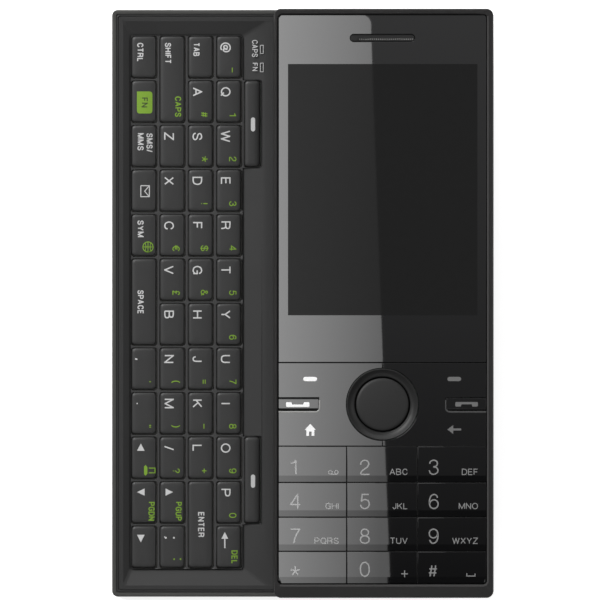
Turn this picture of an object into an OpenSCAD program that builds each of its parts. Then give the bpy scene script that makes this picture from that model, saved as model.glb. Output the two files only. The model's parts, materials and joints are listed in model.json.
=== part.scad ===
// Side-sliding phone: a keyboard half that lies underneath and a display half that runs across it.
// Origin: middle of the keyboard half's back face. +Y is the earpiece end, +X the way the display opens,
// +Z out of the screen. The model stands open, as the phone is used with its letter keyboard.

/* [Halves] */
// Width of each half
half_w = 43.4; // [42:0.2:48]
// Length of the display half
slab_l = 116.3; // [110:0.1:124]
// How far each end of the keyboard half lies inside the display half's
base_inset = 0.1; // [0:0.05:0.3]
// Height of the keyboard half, back face to rim
base_h = 8.6; // [8.4:0.1:9.6]
// Thickness of the display half
slab_t = 7.3; // [7.1:0.1:8.5]
// Gap between the two halves
half_gap = 0.4; // [0.3:0.05:0.6]
// Overlap of the two halves when open
overlap = 11.4; // [11:0.1:12]
// Corner radius of the keyboard half, seen from the front
base_corner_r = 1.2; // [0.6:0.1:2]
// Corner radius of the display half, seen from the front
slab_corner_r = 1.5; // [0.6:0.1:2]
// Radius of the back edges of the keyboard half
back_edge_r = 1.5; // [0.8:0.1:1.8]
// Radius of the lower edges of the display half
slab_edge_r = 0.7; // [0.3:0.1:1]
// Chamfer of the front edges
front_chamfer = 0.25; // [0.1:0.05:0.4]
// Wall thickness of the moulded shells
wall = 1.0; // [0.8:0.05:1.1]

/* [Keyboard] */
// Deck left of the keys
keys_left = 3.97; // [3.8:0.01:4.2]
// Deck right of the keys, with the soft keys and the slide in it
keys_right = 17.81; // [17.6:0.01:18.4]
// Deck beyond the keys at the earpiece end
keys_above = 5.33; // [5:0.01:5.6]
// Deck beyond the keys at the lower end
keys_below = 5.73; // [5.4:0.01:6]
// Space between keys across the phone
key_space_x = 0.78; // [0.7:0.01:0.9]
// Space between keys along the phone
key_space_y = 0.66; // [0.6:0.01:0.8]
// Height of a key
key_h = 1.3; // [1.2:0.05:1.5]
// Key edge chamfer
key_chamfer = 0.3; // [0.1:0.05:0.4]
// Key corner radius
key_r = 0.4; // [0.2:0.05:0.8]
// Travel of every key and button
press = 0.25; // [0.15:0.05:0.25]
// Clearance between a key and the web around it
key_gap = 0.18; // [0.12:0.01:0.2]
// Width of a soft key beside the block
soft_w = 3.08; // [2.6:0.02:3.2]
// Width of the flat rim around the keyboard deck
rim_w = 0.8; // [0.6:0.05:0.9]
// Width of each fine groove inside the rim
groove_w = 0.2; // [0.15:0.05:0.25]
// Depth of the fine grooves
groove_d = 0.2; // [0.1:0.05:0.3]
// Depth of the hopper around the keys
well_d = 1.0; // [0.6:0.05:1.1]

/* [Front panel] */
// Bezel width at the left
bezel_left = 0.95; // [0.85:0.05:1.1]
// Bezel width at the right
bezel_right = 1.45; // [1.3:0.05:1.6]
// Bezel width at the earpiece end
bezel_top = 1.27; // [1.1:0.05:1.5]
// Gap around the panels in the bezel
panel_gap = 0.12; // [0.08:0.01:0.15]
// Gap between neighbouring panels and keys
seam = 0.14; // [0.1:0.01:0.16]
// Thickness of the glass
glass_t = 1.0; // [0.8:0.05:1.1]
// Length of the glass, top edge to first seam
glass_l = 68.5; // [68:0.1:69]
// Length of the navigation band below the glass
nav_l = 16.37; // [16.1:0.05:16.6]
// Chin below the number keys
chin = 2.85; // [2.6:0.05:3.2]
// Share of the number pad's length that each row takes, from the upper one down
row_share = [0.264, 0.252, 0.248, 0.236];
// Share of the panel's width that each column takes, from the left
col_share = [0.328, 0.34, 0.332];
// Slope at the lower edge of a number key, its length
facet_l = 1.3; // [1:0.1:1.6]
// Slope at the lower edge of a number key, its drop
facet_d = 0.3; // [0.1:0.05:0.4]
// Thickness of the keys in the front panel
pad_t = 1.1; // [1:0.05:1.2]
// Outer radius of the navigation ring
nav_r = 7.05; // [6.6:0.05:7.1]
// Radius of the middle button
nav_button_r = 5.2; // [4.6:0.05:5.3]
// Call and end keys, length across the phone
call_w = 7.9; // [7:0.1:8]
// Call and end keys, size along the phone
call_l = 2.45; // [2.2:0.05:2.6]
// Glass left and right of the visible screen
screen_side = 1.8; // [1.6:0.05:2.2]
// Glass above the visible screen
screen_above = 9.65; // [9.4:0.05:10]
// Glass below the visible screen
screen_below = 9.25; // [9:0.05:9.6]
// Display's frame beyond the visible screen, at the sides
lcd_side = 0.9; // [0.5:0.1:1]
// Display's frame above and below the visible screen
lcd_end = [1.7, 4.1];
// Thickness of the display
lcd_t = 2.3; // [2:0.1:2.4]
// Earpiece slot, across and along
ear_slot = [12.8, 1.54];
// Earpiece slot's middle, from the upper end of the display half
ear_drop = 5.8; // [5.5:0.1:6]
// Earpiece capsule, across, along and thick
ear_size = [15, 6, 2.2];

/* [Slide] */
// Length of the carriage along the travel
carriage_w = 8; // [7:0.2:8]
// Distance of each guide slot from the middle
guide_y = 41; // [39:0.5:42]
// Thickness of the hooks that pass through the slots
hook_t = 1.2; // [1:0.1:1.3]
// Running clearance in the slide
slide_gap = 0.2; // [0.1:0.05:0.2]
// Radius of the spring wire
wire_r = 0.25; // [0.2:0.05:0.25]
// Width of the flat cable
flex_w = 7; // [6:0.5:7]

/* [Inside] */
// Space beside the battery, at each side
battery_side = 4.7; // [4.5:0.1:5.2]
// Battery, thick
battery_t = 3.5; // [3.3:0.1:3.5]
// Space below the battery, for the motor and the socket
foot_l = 9; // [8.5:0.1:9.2]
// Space above the battery, for the main board, the camera and the loudspeaker
head_l = 54.1; // [53.5:0.1:55]
// Thickness of the battery cover
cover_t = 1.2; // [1:0.05:1.25]
// Back of the housing beyond the battery cover at the earpiece end
cover_above = 28.1; // [27.6:0.1:28.6]
// Back of the housing at each side of the battery cover
cover_side = 2.4; // [2.3:0.05:2.7]
// Clearance around the battery and its cover
cover_gap = 0.15; // [0.1:0.01:0.2]
// Thickness of the circuit boards
board_t = 0.7; // [0.5:0.05:0.7]
// Socket shell, wide and high
socket = [7.6, 2.6];
// Depth of the socket
socket_l = 5.6; // [5:0.1:6]
// Screw shank radius
screw_r = 0.6; // [0.5:0.05:0.65]
// Screw head radius
head_r = 1.2; // [1.1:0.05:1.3]
// Screw head height
head_h = 0.6; // [0.5:0.05:0.7]

/* [Hidden] */
$fn = 32;
eps = 0.01;
through = 40;                        // longer than anything that it cuts

base_l = slab_l - 2 * base_inset;
travel = half_w - overlap;

// Heights in the keyboard half, from the back face up
split_z = 5.0;                       // parting line of its two shells
roof_t = 0.5;                        // battery bay's roof, which carries the keyboard board
cover_z = cover_t + 0.1;             // housing's outer floor under the cover
floor_z = cover_z + 0.9;
bay_z = cover_z + 0.1;               // battery's lower face
roof_z = bay_z + battery_t + 0.1;
board_z = roof_z + roof_t;           // keyboard board
domes_z = board_z + board_t;
mat_z = domes_z + 0.25;
press_room = press + 0.1;            // left under whatever is pressed
key_z = mat_z + 0.3 + press_room;    // underside of the keys
deck_z = key_z + 0.1;                // underside of the deck's plate
well_z = base_h - well_d;            // lower edge of the hopper
web_top = key_z + 0.9;
flange_h = 0.25;                     // flange that holds the web under the deck
rows = 4;
cols = 12;
key_pitch_x = (half_w - keys_left - keys_right + key_space_x) / rows;
key_pitch_y = (base_l - keys_above - keys_below + key_space_y) / cols;
key_w = key_pitch_x - key_space_x;
key_l = key_pitch_y - key_space_y;
row_x0 = -half_w / 2 + keys_left + key_w / 2;
keys_y = (keys_below - keys_above) / 2;
block_rim = 0.15;                    // web outside the outermost keys
block_x = row_x0 + (rows - 1) * key_pitch_x / 2;
block = [(rows - 1) * key_pitch_x + key_w, (cols - 1) * key_pitch_y + key_l]
    + [2, 2] * (key_gap + block_rim);
soft_l = 2 * key_pitch_y - 0.72;
soft_x = block_x + block[0] / 2 + 2 * key_gap + soft_w / 2;
soft_y = keys_y + 4 * key_pitch_y;   // middle between the 2nd and the 3rd key
soft_pocket = [soft_w, soft_l] + [2, 2] * (key_gap + block_rim);

// Heights in the display half
slab_z = base_h + half_gap;          // its underside
slab_top = slab_z + slab_t;
plate_z = slab_z + wall;             // upper face of its back plate
slab_split = slab_z + 3.6;           // parting line of its two shells
panel_top = slab_top - 0.1;          // glass
under_glass = panel_top - glass_t - 0.1;
pad_top = slab_top - 0.15;           // keys in the panel
pad_z = pad_top - pad_t;
bar_rise = slab_top - pad_top;
ledge_z = pad_z - press_room;             // frame's key plate, upper face
ledge_t = 0.8;
pad_board_z = plate_z + 2.5;
pad_dome_z = pad_board_z + board_t;
pad_dome_h = 0.2;
plunger_r = 1.2;
plunger_z = pad_dome_z + pad_dome_h + press_room;
panel_left = -half_w / 2 + bezel_left;
panel_right = half_w / 2 - bezel_right;
panel_mid = (panel_left + panel_right) / 2;
panel_w = panel_right - panel_left;
panel_y1 = slab_l / 2 - bezel_top;   // upper end of the glass
glass_y0 = panel_y1 - glass_l;
nav_y1 = glass_y0 - seam;
nav_y0 = nav_y1 - nav_l;
nav_y = (nav_y0 + nav_y1) / 2;
num_total = slab_l - bezel_top - glass_l - nav_l - chin - 5 * seam;
num_l = row_share * num_total;
panel_y0 = num_low(3);
panel_mid_y = (panel_y0 + panel_y1) / 2;
num_x = [panel_left, panel_left + col_share[0] * panel_w, panel_right - col_share[2] * panel_w,
    panel_right];
screen_y1 = panel_y1 - screen_above;
screen_y0 = glass_y0 + screen_below;
lcd = [panel_w - 2 * screen_side + 2 * lcd_side, screen_y1 - screen_y0 + lcd_end[0] + lcd_end[1], lcd_t];
lcd_y = (screen_y1 + lcd_end[0] + screen_y0 - lcd_end[1]) / 2;
ear_y = slab_l / 2 - ear_drop;

// Slide
carriage_x = (half_w - overlap) / 2;
plate_t = 0.7;                       // carriage plate, let into the deck
slot_w = hook_t + 2 * slide_gap;
slot_l = 2 * carriage_x + carriage_w + 0.6;
hook_z = plate_z + slide_gap;        // underside of the hook's flange
flange_t = 0.8;
rail_z = hook_z + flange_t + slide_gap;
rail_t = 0.6;
pin_y = guide_y - 4.6;               // spring pins on the carriage
spring_z = hook_z + flange_t + 0.05;
flex_t = 0.2;
peg_y = guide_y - 7;
anchor_y = 22;                       // spring anchors on the back plate
flex_y = 8 - anchor_y;               // flat cable, clear of the spring anchor and the middle peg

// Screw places
cover_l = base_l - cover_above;
cover_y1 = -base_l / 2 + cover_l;
cover_half = half_w / 2 - cover_side;
base_screw = [half_w / 2 - 3.7, base_l / 2 - 3.6];
base_screws = [for (x = [-1, 1] * base_screw[0])
    for (y = [-base_screw[1], cover_y1 - 4, base_screw[1]]) [x, y]];
slab_screw = [half_w / 2 - 3, slab_l / 2 - 3.7];
slab_screw_at = [for (x = [-1, 1] * slab_screw[0])
    for (y = [-slab_screw[1], 4 - peg_y, slab_screw[1]]) [x, y]];
thread_gap = 0.05;
boss_r = 1.3;
boss_rib = 1.2;

// Places inside the keyboard half
bay_y0 = -base_l / 2 + foot_l;
bay_y1 = base_l / 2 - head_l;
battery_w = half_w - 2 * battery_side;
battery_size = [battery_w, bay_y1 - bay_y0, battery_t];
bay_mid = (bay_y0 + bay_y1) / 2;
bay_wall = 0.8;
contact_half = 4.9;                  // half the width of the contact block
main_y0 = bay_y1 + 3;
main_y1 = base_l / 2 - 18;
main_z = floor_z + 0.35;
camera_at = [8, base_l / 2 - 11];
camera_r = 3.9;
speaker_at = [-9, base_l / 2 - 11];
speaker = [16, 11, 3];
window_x = [-14.5, 16];              // opening to the card holders, under the cover
window_y = [main_y0 + 1.4, cover_y1 - 2];
socket_x = 6;
socket_z = floor_z + 0.1 + socket[1] / 2;
motor_r = 1.6;
dish_r = 40;
side_key_z = 3.4;                    // middle height of the two side buttons
side_key_h = 1.8;
volume_at = [base_l / 2 - 34, 14];                // place and length along the side
camera_key_at = [-base_l / 2 + 28, 7];
motor_x = -half_w / 2 + 6.2;
motor_l = 7;
flap = 0.6;                          // how far the cover's side tongues reach

// ---- shapes ----

module rounded_rect(size, r) {
    square([size[0] - 2 * r, size[1]], center = true);
    square([size[0], size[1] - 2 * r], center = true);
    for (x = [-1, 1]) for (y = [-1, 1])
        translate([x * (size[0] / 2 - r), y * (size[1] / 2 - r)]) circle(r);
}

// Block standing on the middle of its foot; r rounds its upright edges
module block(size, at = [0, 0, 0], r = 0) {
    translate(at)
        if (r > 0) linear_extrude(size[2]) rounded_rect(size, r);
        else translate([-size[0] / 2, -size[1] / 2, 0]) cube(size);
}

module span(low, high) {
    translate(low) cube(high - low);
}

module cross_section(w, h, lower_r, chamfer) {
    translate([0, lower_r]) polygon([[-w / 2, 0], [w / 2, 0], [w / 2, h - lower_r - chamfer],
        [w / 2 - chamfer, h - lower_r], [-w / 2 + chamfer, h - lower_r], [-w / 2, h - lower_r - chamfer]]);
    translate([-w / 2 + lower_r, 0]) square([w - 2 * lower_r, h / 2]);
    for (x = [-1, 1]) translate([x * (w / 2 - lower_r), lower_r]) circle(lower_r);
}

// Shell blank: rounded in plan, with rounded lower edges and chamfered upper ones
module blank(w, l, h, corner_r, lower_r, chamfer) {
    intersection() {
        linear_extrude(h) rounded_rect([w, l], corner_r);
        rotate([90, 0, 0]) linear_extrude(l + 2, center = true) cross_section(w, h, lower_r, chamfer);
        rotate([90, 0, 90]) linear_extrude(w + 2, center = true) cross_section(l, h, lower_r, chamfer);
    }
}

module base_blank() blank(half_w, base_l, base_h, base_corner_r, back_edge_r, front_chamfer);
module slab_blank() translate([0, 0, slab_z])
    blank(half_w, slab_l, slab_t, slab_corner_r, slab_edge_r, front_chamfer);

module in_slab() translate([travel, 0, 0]) children();

module each_at(places) for (p = places) translate([p[0], p[1], 0]) children();

function row_x(row) = row_x0 + row * key_pitch_x;
function col_y(col) = keys_y + ((cols - 1) / 2 - col) * key_pitch_y;

// Key cap of the letter keyboard, cols wide along the phone
module cap(row, col, span_cols = 1) {
    l = key_l + (span_cols - 1) * key_pitch_y;
    translate([row_x(row), col_y(col + (span_cols - 1) / 2), key_z])
        chamfered_cap([key_w, l, key_h], key_r);
}

module chamfered_cap(size, r) {
    intersection() {
        linear_extrude(size[2]) rounded_rect(size, r);
        rotate([90, 0, 0]) linear_extrude(size[1] + 2, center = true) cap_section(size[0], size[2]);
        rotate([90, 0, 90]) linear_extrude(size[0] + 2, center = true) cap_section(size[1], size[2]);
    }
}

module cap_section(w, h) polygon([[-w / 2, 0], [w / 2, 0], [w / 2, h - key_chamfer],
    [w / 2 - key_chamfer, h], [-w / 2 + key_chamfer, h], [-w / 2, h - key_chamfer]]);

module cap_hole(row, col, span_cols = 1)
    translate([row_x(row), col_y(col + (span_cols - 1) / 2), 0])
        rounded_rect([key_w, key_l + (span_cols - 1) * key_pitch_y] + [2, 2] * key_gap, key_r + key_gap);

// Single keys of each row; the wide keys fill the places left out
singles = [
    [0, 1, 2, 3, 4, 7, 8, 9, 10, 11],
    [2, 3, 4, 5, 6, 7, 8, 9, 10, 11],
    [0, 1, 2, 3, 4, 5, 6, 7, 8, 9],
    [0, 1, 2, 3, 4, 5, 6, 7, 8, 9, 10, 11]
];
wide = [[0, 5], [1, 0], [2, 10]];    // space, shift and enter: row, first column

// Well opening in the deck: the key block with a pocket for each soft key
module well_outline(grow = 0) {
    translate([block_x, keys_y]) rounded_rect(block + [2, 2] * grow, 0.6);
    for (s = [-1, 1]) soft_pocket_outline(s, grow);
}

module soft_pocket_outline(s, grow) {
    translate([soft_x, keys_y + s * (soft_y - keys_y)]) rounded_rect(soft_pocket + [2, 2] * grow, 0.6);
    translate([soft_x - 1.5, keys_y + s * (soft_y - keys_y)])
        square([soft_pocket[0] - 2, soft_pocket[1] + 2 * grow], center = true);
}

// ---- keyboard half ----

module rear_housing() color("#333331") {
    difference() {
        union() {
            intersection() {
                base_blank();
                block([half_w + 2, base_l + 2, split_z]);
            }
            bay_block(roof_z - split_z + eps, split_z - eps);
        }
        // inside, around the battery bay
        difference() {
            block([half_w - 2 * wall, base_l - 2 * wall, split_z], [0, 0, floor_z], 0.6);
            bay_block(split_z + 1, 0);
            each_at(base_screws) cylinder(h = split_z, r = boss_r);
        }
        // battery bay, open at the back
        block([battery_size[0] + 2 * cover_gap, battery_size[1] + 2 * cover_gap, through], [0, bay_mid, 0]);
        // contact opening in the bay's upper wall
        span([-contact_half - 0.3, bay_y1 - 1, floor_z], [contact_half + 0.3, bay_y1 + 2, roof_z - 0.4]);
        // recess for the cover, open at the lower end, with a groove down each side
        span([-cover_half - cover_gap, -base_l / 2 - 1, -1],
            [cover_half + cover_gap, cover_y1 + cover_gap, cover_z]);
        for (s = [-1, 1]) scale_x(s) span([cover_half - 1, -base_l / 2 - 1, 0.45],
            [cover_half + flap + cover_gap, cover_y1 - 5 + cover_gap, 1.05]);
        // way to the card holders
        span([window_x[0], window_y[0], 0], [window_x[1], window_y[1], floor_z + 1]);
        // camera and loudspeaker
        translate([camera_at[0], camera_at[1], -1]) cylinder(h = through, r = camera_r + 0.1);
        for (i = [-2:2])
            block([8 - abs(i), 0.8, through], [speaker_at[0], speaker_at[1] + i * 1.6, -1], 0.39);
        // socket, side keys and screws
        block([socket[0] + 0.2, 4, socket[1] + 0.2],
            [socket_x, -base_l / 2, socket_z - socket[1] / 2 - 0.1]);
        side_opening(volume_at);
        side_opening(camera_key_at);
        each_at(base_screws) {
            translate([0, 0, -1]) cylinder(h = through, r = screw_r + 0.2);
            translate([0, 0, -1]) cylinder(h = 1 + head_z() + head_h + 0.05, r = head_r + 0.15);
        }
    }
    // roof of the bay
    bay_block(roof_t, roof_z);
}

function head_z() = cover_z + 0.05;

module bay_block(h, z)
    block([battery_size[0] + 2 * (bay_wall + cover_gap), battery_size[1] + 2 * (bay_wall + cover_gap), h],
        [0, bay_mid, z]);

module scale_x(s) mirror([s < 0 ? 1 : 0, 0, 0]) children();

module side_opening(key)
    block([6, key[1] + 0.2, side_key_h + 0.2], [half_w / 2, key[0], side_key_z - side_key_h / 2 - 0.1]);

module keyboard_deck() color("#3d3d3c") {
    difference() {
        intersection() {
            base_blank();
            block([half_w + 2, base_l + 2, base_h], [0, 0, split_z]);
        }
        block([half_w - 2 * wall, base_l - 2 * wall, deck_z - split_z + 1], [0, 0, split_z - 1], 0.6);
        // the well and the hopper around it
        linear_extrude(through) well_outline();
        hull() {
            translate([block_x, keys_y, well_z]) linear_extrude(eps) rounded_rect(block, 0.6);
            translate([0, 0, base_h + eps]) linear_extrude(1) hopper_outline();
        }
        // two fine grooves inside the rim, with a ridge between them
        for (i = [0, 1]) translate([0, 0, base_h - groove_d])
            linear_extrude(1) rim_line(rim_w + 2 * i * groove_w);
        // carriage seat
        block([carriage_w + 0.2, 2 * guide_y + 5.2, through], [carriage_x, 0, base_h - plate_t - 0.1]);
        each_at([for (y = [-peg_y, 0, peg_y]) [carriage_x, y]])
            cylinder(h = through, r = 0.75);
        block([2, flex_w + 1, through], [carriage_x, flex_y, split_z]);
    }
    // screw bosses, each with a rib to the side wall, with their threads bored and cut back around the keys
    difference() {
        for (p = base_screws) {
            s = sign(p[0]);
            translate([p[0], p[1], split_z]) cylinder(h = deck_z - split_z + eps, r = boss_r);
            scale_x(s) span([s * p[0], p[1] - boss_rib / 2, split_z],
                [half_w / 2 - wall + eps, p[1] + boss_rib / 2, deck_z + eps]);
        }
        each_at(base_screws) cylinder(h = deck_z - 0.5, r = screw_r + thread_gap);
        translate([0, 0, domes_z - 0.05]) linear_extrude(through) well_outline(0.8);
    }
}

module hopper_outline() {
    inner = rim_w + 3 * groove_w + 0.8;
    x0 = -half_w / 2 + inner;
    x1 = block_x + block[0] / 2 + 5;
    translate([(x0 + x1) / 2, 0]) rounded_rect([x1 - x0, base_l - 2 * inner], 0.6);
}

module rim_line(inset) difference() {
    rounded_rect([half_w - 2 * inset, base_l - 2 * inset], 0.5);
    rounded_rect([half_w - 2 * (inset + groove_w), base_l - 2 * (inset + groove_w)], 0.4);
}

module key_web() color("#454545") {
    difference() {
        translate([0, 0, deck_z]) linear_extrude(web_top - deck_z) well_outline(-0.05);
        translate([0, 0, -1]) linear_extrude(through) {
            for (row = [0:rows - 1]) for (col = singles[row]) cap_hole(row, col);
            for (w = wide) cap_hole(w[0], w[1], 2);
            for (s = [-1, 1]) translate([soft_x, keys_y + s * (soft_y - keys_y)])
                rounded_rect([soft_w, soft_l] + [2, 2] * key_gap, key_r + key_gap);
        }
    }
    // flange under the deck
    translate([0, 0, deck_z - flange_h]) linear_extrude(flange_h) difference() {
        well_outline(0.7);
        well_outline(-0.25);
    }
}

module key_mat() color("#9a9a96") {
    block([block[0] + 0.4, block[1] + 0.4, 0.25], [block_x, keys_y, mat_z]);
    for (row = [0:rows - 1]) for (col = [0:cols - 1])
        translate([row_x(row), col_y(col), mat_z]) cylinder(h = 0.3, r = 1.2);
    for (s = [-1, 1]) block([soft_w, soft_l, 0.3], [soft_x, keys_y + s * (soft_y - keys_y), mat_z]);
    span([block_x, keys_y - soft_y, mat_z], [soft_x, keys_y + soft_y, mat_z + 0.2]);
}

module dome_sheet() color("#c9c7bf") {
    block([block[0], block[1], 0.1], [block_x, keys_y, domes_z]);
    for (row = [0:rows - 1]) for (col = [0:cols - 1])
        translate([row_x(row), col_y(col), domes_z]) cylinder(h = 0.2, r = 1.9);
}

module keyboard_board() color("#1f5b3a") difference() {
    span([row_x0 - 1, -base_l / 2 + wall + 0.5, board_z],
        [carriage_x + 1.2, base_l / 2 - wall - 0.5, domes_z]);
    each_at(base_screws) cylinder(h = through, r = boss_r + 0.3);
}

module main_board() color("#1f5b3a") difference() {
    union() {
        span([-half_w / 2 + wall + 0.3, main_y0, main_z],
            [half_w / 2 - wall - 1.3, main_y1, main_z + board_t]);
        block([3, 4, 1.2], [-15, main_y1 - 5, main_z + board_t - eps]);
    }
    each_at(base_screws) cylinder(h = through, r = boss_r + 0.2);
}

module shield_cans() color("silver")
    for (can = [[-6, main_y0 + 7.2, 14, 14], [8, main_y0 + 7.2, 10, 14], [0, main_y0 + 24, 24, 15]])
        difference() {
            block([can[2], can[3], 1.6], [can[0], can[1], main_z + board_t]);
            block([can[2] - 0.4, can[3] - 0.4, 1.6], [can[0], can[1], main_z + board_t - 0.2]);
        }

module battery() color("#8f8d88")
    block(battery_size, [0, bay_mid, bay_z], 0.8);

module battery_contacts() color("#c8a24a") {
    span([-contact_half, bay_y1 + 1.05, floor_z + 0.05],
        [contact_half, main_y0 - 0.05, main_z + board_t + 1]);
    for (x = [-3, 0, 3]) span([x - 0.5, bay_y1 + 0.05, main_z], [x + 0.5, bay_y1 + 1.1, main_z + 0.5]);
}

module sim_holder() color("silver") card_frame(-6.5, 15, 17);
module card_holder() color("#b9b9b5") card_frame(9.5, 12, 15);

// Metal cage of a card holder, open towards the battery
module card_frame(x, w, l) {
    y0 = window_y[0] + 0.5;
    difference() {
        span([x - w / 2, y0, cover_z + 0.1], [x + w / 2, y0 + l, main_z]);
        span([x - w / 2 + 0.4, y0 - 1, cover_z + 0.3], [x + w / 2 - 0.4, y0 + l - 0.5, main_z - 0.2]);
    }
}

module camera_module() color("#222222") {
    block([8.4, 8.4, 3.2], [camera_at[0], camera_at[1], cover_z + 0.9]);
    translate([camera_at[0], camera_at[1], cover_z + 0.05]) cylinder(h = 1, r = 3);
}

module camera_window() color("#101012")
    translate([camera_at[0], camera_at[1], 0.1]) cylinder(h = cover_z - 0.1, r = camera_r);

module loudspeaker() color("#2a2a2a")
    block(speaker, [speaker_at[0], speaker_at[1], floor_z], 3);

module vibration_motor() color("silver") {
    translate([motor_x, bay_y0 - 4.3, floor_z + motor_r]) rotate([0, 90, 0]) {
        cylinder(h = motor_l, r = motor_r);
        cylinder(h = motor_l + 1.5, r = 0.4);
        // off-centre weight
        translate([0, 0, motor_l + 1]) linear_extrude(2.6) intersection() {
            circle(motor_r - 0.1);
            translate([0, -motor_r]) square(2 * motor_r);
        }
    }
}

module charge_socket() color("silver") {
    translate([socket_x, -base_l / 2 + 0.3, socket_z]) rotate([-90, 0, 0]) {
        difference() {
            linear_extrude(socket_l) rounded_rect(socket, 0.6);
            translate([0, 0, -1]) linear_extrude(socket_l) rounded_rect(socket - [0.6, 0.6], 0.4);
        }
        translate([0, 0, 0.8]) linear_extrude(socket_l - 1) square([3.8, 0.6], center = true);
    }
}

module screw(length) {
    cylinder(h = head_h, r = head_r);
    cylinder(h = length, r = screw_r);
}

module housing_screws() color("#8a8a88")
    each_at(base_screws) translate([0, 0, head_z()]) difference() {
        screw(deck_z - 1 - head_z());
        for (a = [0, 90]) rotate(a) block([1.3, 0.3, 0.6], [0, 0, -0.3]);
    }

module slide_carriage() color("#77777a") {
    plate_low = base_h - plate_t - 0.1;
    difference() {
        block([carriage_w, 2 * guide_y + 5, plate_t], [carriage_x, 0, plate_low]);
        block([2, flex_w + 1, through], [carriage_x, flex_y, 0]);
    }
    each_at([for (y = [-peg_y, 0, peg_y]) [carriage_x, y]])
        translate([0, 0, deck_z]) cylinder(h = plate_low - deck_z + eps, r = 0.7);
    for (s = [-1, 1]) scale_y(s) {
        block([carriage_w, hook_t, hook_z + flange_t - plate_low], [carriage_x, guide_y, plate_low]);
        span([carriage_x - carriage_w / 2, pin_y - 1.2, hook_z],
            [carriage_x + carriage_w / 2, guide_y + hook_t / 2, hook_z + flange_t]);
        translate([carriage_x, pin_y, hook_z]) cylinder(h = flange_t + 0.8, r = 0.6);
    }
}

module scale_y(s) mirror([0, s < 0 ? 1 : 0, 0]) children();

module battery_cover() color("#2f2f2e") {
    difference() {
        intersection() {
            base_blank();
            span([-cover_half, -base_l / 2 - 1, -1], [cover_half, cover_y1, cover_t]);
        }
        // thumb dish
        translate([0, cover_y1 - 9, 0.3 - dish_r]) sphere(dish_r, $fn = 64);
    }
    for (s = [-1, 1]) scale_x(s) span([cover_half - eps, -base_l / 2 + 3, 0.55],
        [cover_half + flap, cover_y1 - 5, 0.95]);
}

// ---- display half ----

module slab_back() color("#2d2d2c") in_slab() {
    difference() {
        intersection() {
            slab_blank();
            block([half_w + 2, slab_l + 2, slab_split - slab_z], [0, 0, slab_z]);
        }
        difference() {
            block([half_w - 2 * wall, slab_l - 2 * wall, slab_t], [0, 0, plate_z], 0.8);
            each_at(slab_screw_at) cylinder(h = through, r = boss_r);
        }
        for (s = [-1, 1]) block([slot_l, slot_w, through], [0, s * guide_y, 0]);
        block([2 * carriage_x + 3, flex_w + 2, through], [0, flex_y, 0]);
        each_at(slab_screw_at) {
            cylinder(h = through, r = screw_r + 0.1);
            cylinder(h = slab_z + 0.1 + head_h + 0.05, r = head_r + 0.1);
        }
    }
    // spring anchors
    for (s = [-1, 1]) translate([0, s * anchor_y, plate_z - eps])
        cylinder(h = spring_z + 0.7 - plate_z, r = 0.6);
    for (s = [-1, 1]) translate([0, s * anchor_y, plate_z - eps])
        cylinder(h = spring_z - 0.05 - plate_z, r = 1.2);
}

module slab_frame() color("#363636") in_slab() {
    difference() {
        intersection() {
            slab_blank();
            block([half_w + 2, slab_l + 2, slab_t], [0, 0, slab_split]);
        }
        // inside, under the key plate
        difference() {
            block([half_w - 2 * wall, slab_l - 2 * wall, ledge_z - ledge_t - slab_split + 1],
                [0, 0, slab_split - 1], 0.8);
            each_at(slab_screw_at) cylinder(h = through, r = boss_r);
        }
        each_at(slab_screw_at) cylinder(h = ledge_z - 0.3, r = screw_r + thread_gap);
        // panel opening, deeper under the glass
        translate([panel_mid, panel_mid_y, ledge_z]) linear_extrude(through)
            difference() {
                rounded_rect([panel_w, panel_y1 - panel_y0] + [2, 2] * panel_gap, 0.7);
                glass_shelf();
            }
        translate([panel_mid, panel_mid_y, panel_top - glass_t]) linear_extrude(through)
            rounded_rect([panel_w, panel_y1 - panel_y0] + [2, 2] * panel_gap, 0.7);
        // light panel and earpiece
        block([lcd[0] + 0.3, lcd[1] + 0.3, through], [panel_mid, lcd_y, 0]);
        block([ear_size[0] + 1.4, ear_size[1] + 1, through], [panel_mid, ear_y, 0]);
        // plunger holes, navigation opening and call and end keys
        each_at(press_places())
            cylinder(h = through, r = plunger_r + 0.3);
        each_at([nav_place()]) cylinder(h = through, r = nav_r + 0.2);
    }
}

// Part of the panel opening that stays up to carry the glass, relative to the panel's middle
module glass_shelf() {
    top = panel_y1 - panel_mid_y;
    low = glass_y0 - panel_mid_y;
    difference() {
        translate([-panel_w, low - seam / 2]) square([2 * panel_w, top - low + 5]);
        translate([-panel_w / 2 + 0.7, low + 0.9]) square([panel_w - 1.4, top - low - 1.6]);
    }
}

function num_mid(col) = (num_x[col] + num_x[col + 1]) / 2;
function num_low(row) = (row == 0 ? nav_y0 : num_low(row - 1)) - seam - num_l[row];
function nav_place() = [panel_mid, nav_y];
function bar_place(s) = [panel_mid + s * (panel_w - call_w) / 2, nav_y];
function rocker_places(s) = [for (y = [-1, 1]) [panel_mid + s * (panel_w / 2 - 6.9), nav_y + y * 5.4]];
function num_places() = [for (row = [0:3]) for (col = [0:2])
    [num_mid(col), num_low(row) + num_l[row] / 2]];
function press_places() = concat(num_places(), rocker_places(-1), rocker_places(1),
    [bar_place(-1), bar_place(1)]);

module display_glass() color("#16171a") in_slab() difference() {
    translate([0, 0, panel_top - glass_t]) linear_extrude(glass_t) intersection() {
        translate([panel_mid, panel_mid_y]) rounded_rect([panel_w, panel_y1 - panel_y0], 0.6);
        translate([-half_w, glass_y0]) square([2 * half_w, slab_l]);
    }
    block([ear_slot[0], ear_slot[1], through], [panel_mid, ear_y, 0], ear_slot[1] / 2 - eps);
}

module lcd_panel() color("#2c2e30") in_slab()
    block(lcd, [panel_mid, lcd_y, under_glass - lcd[2]], 0.3);

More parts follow.
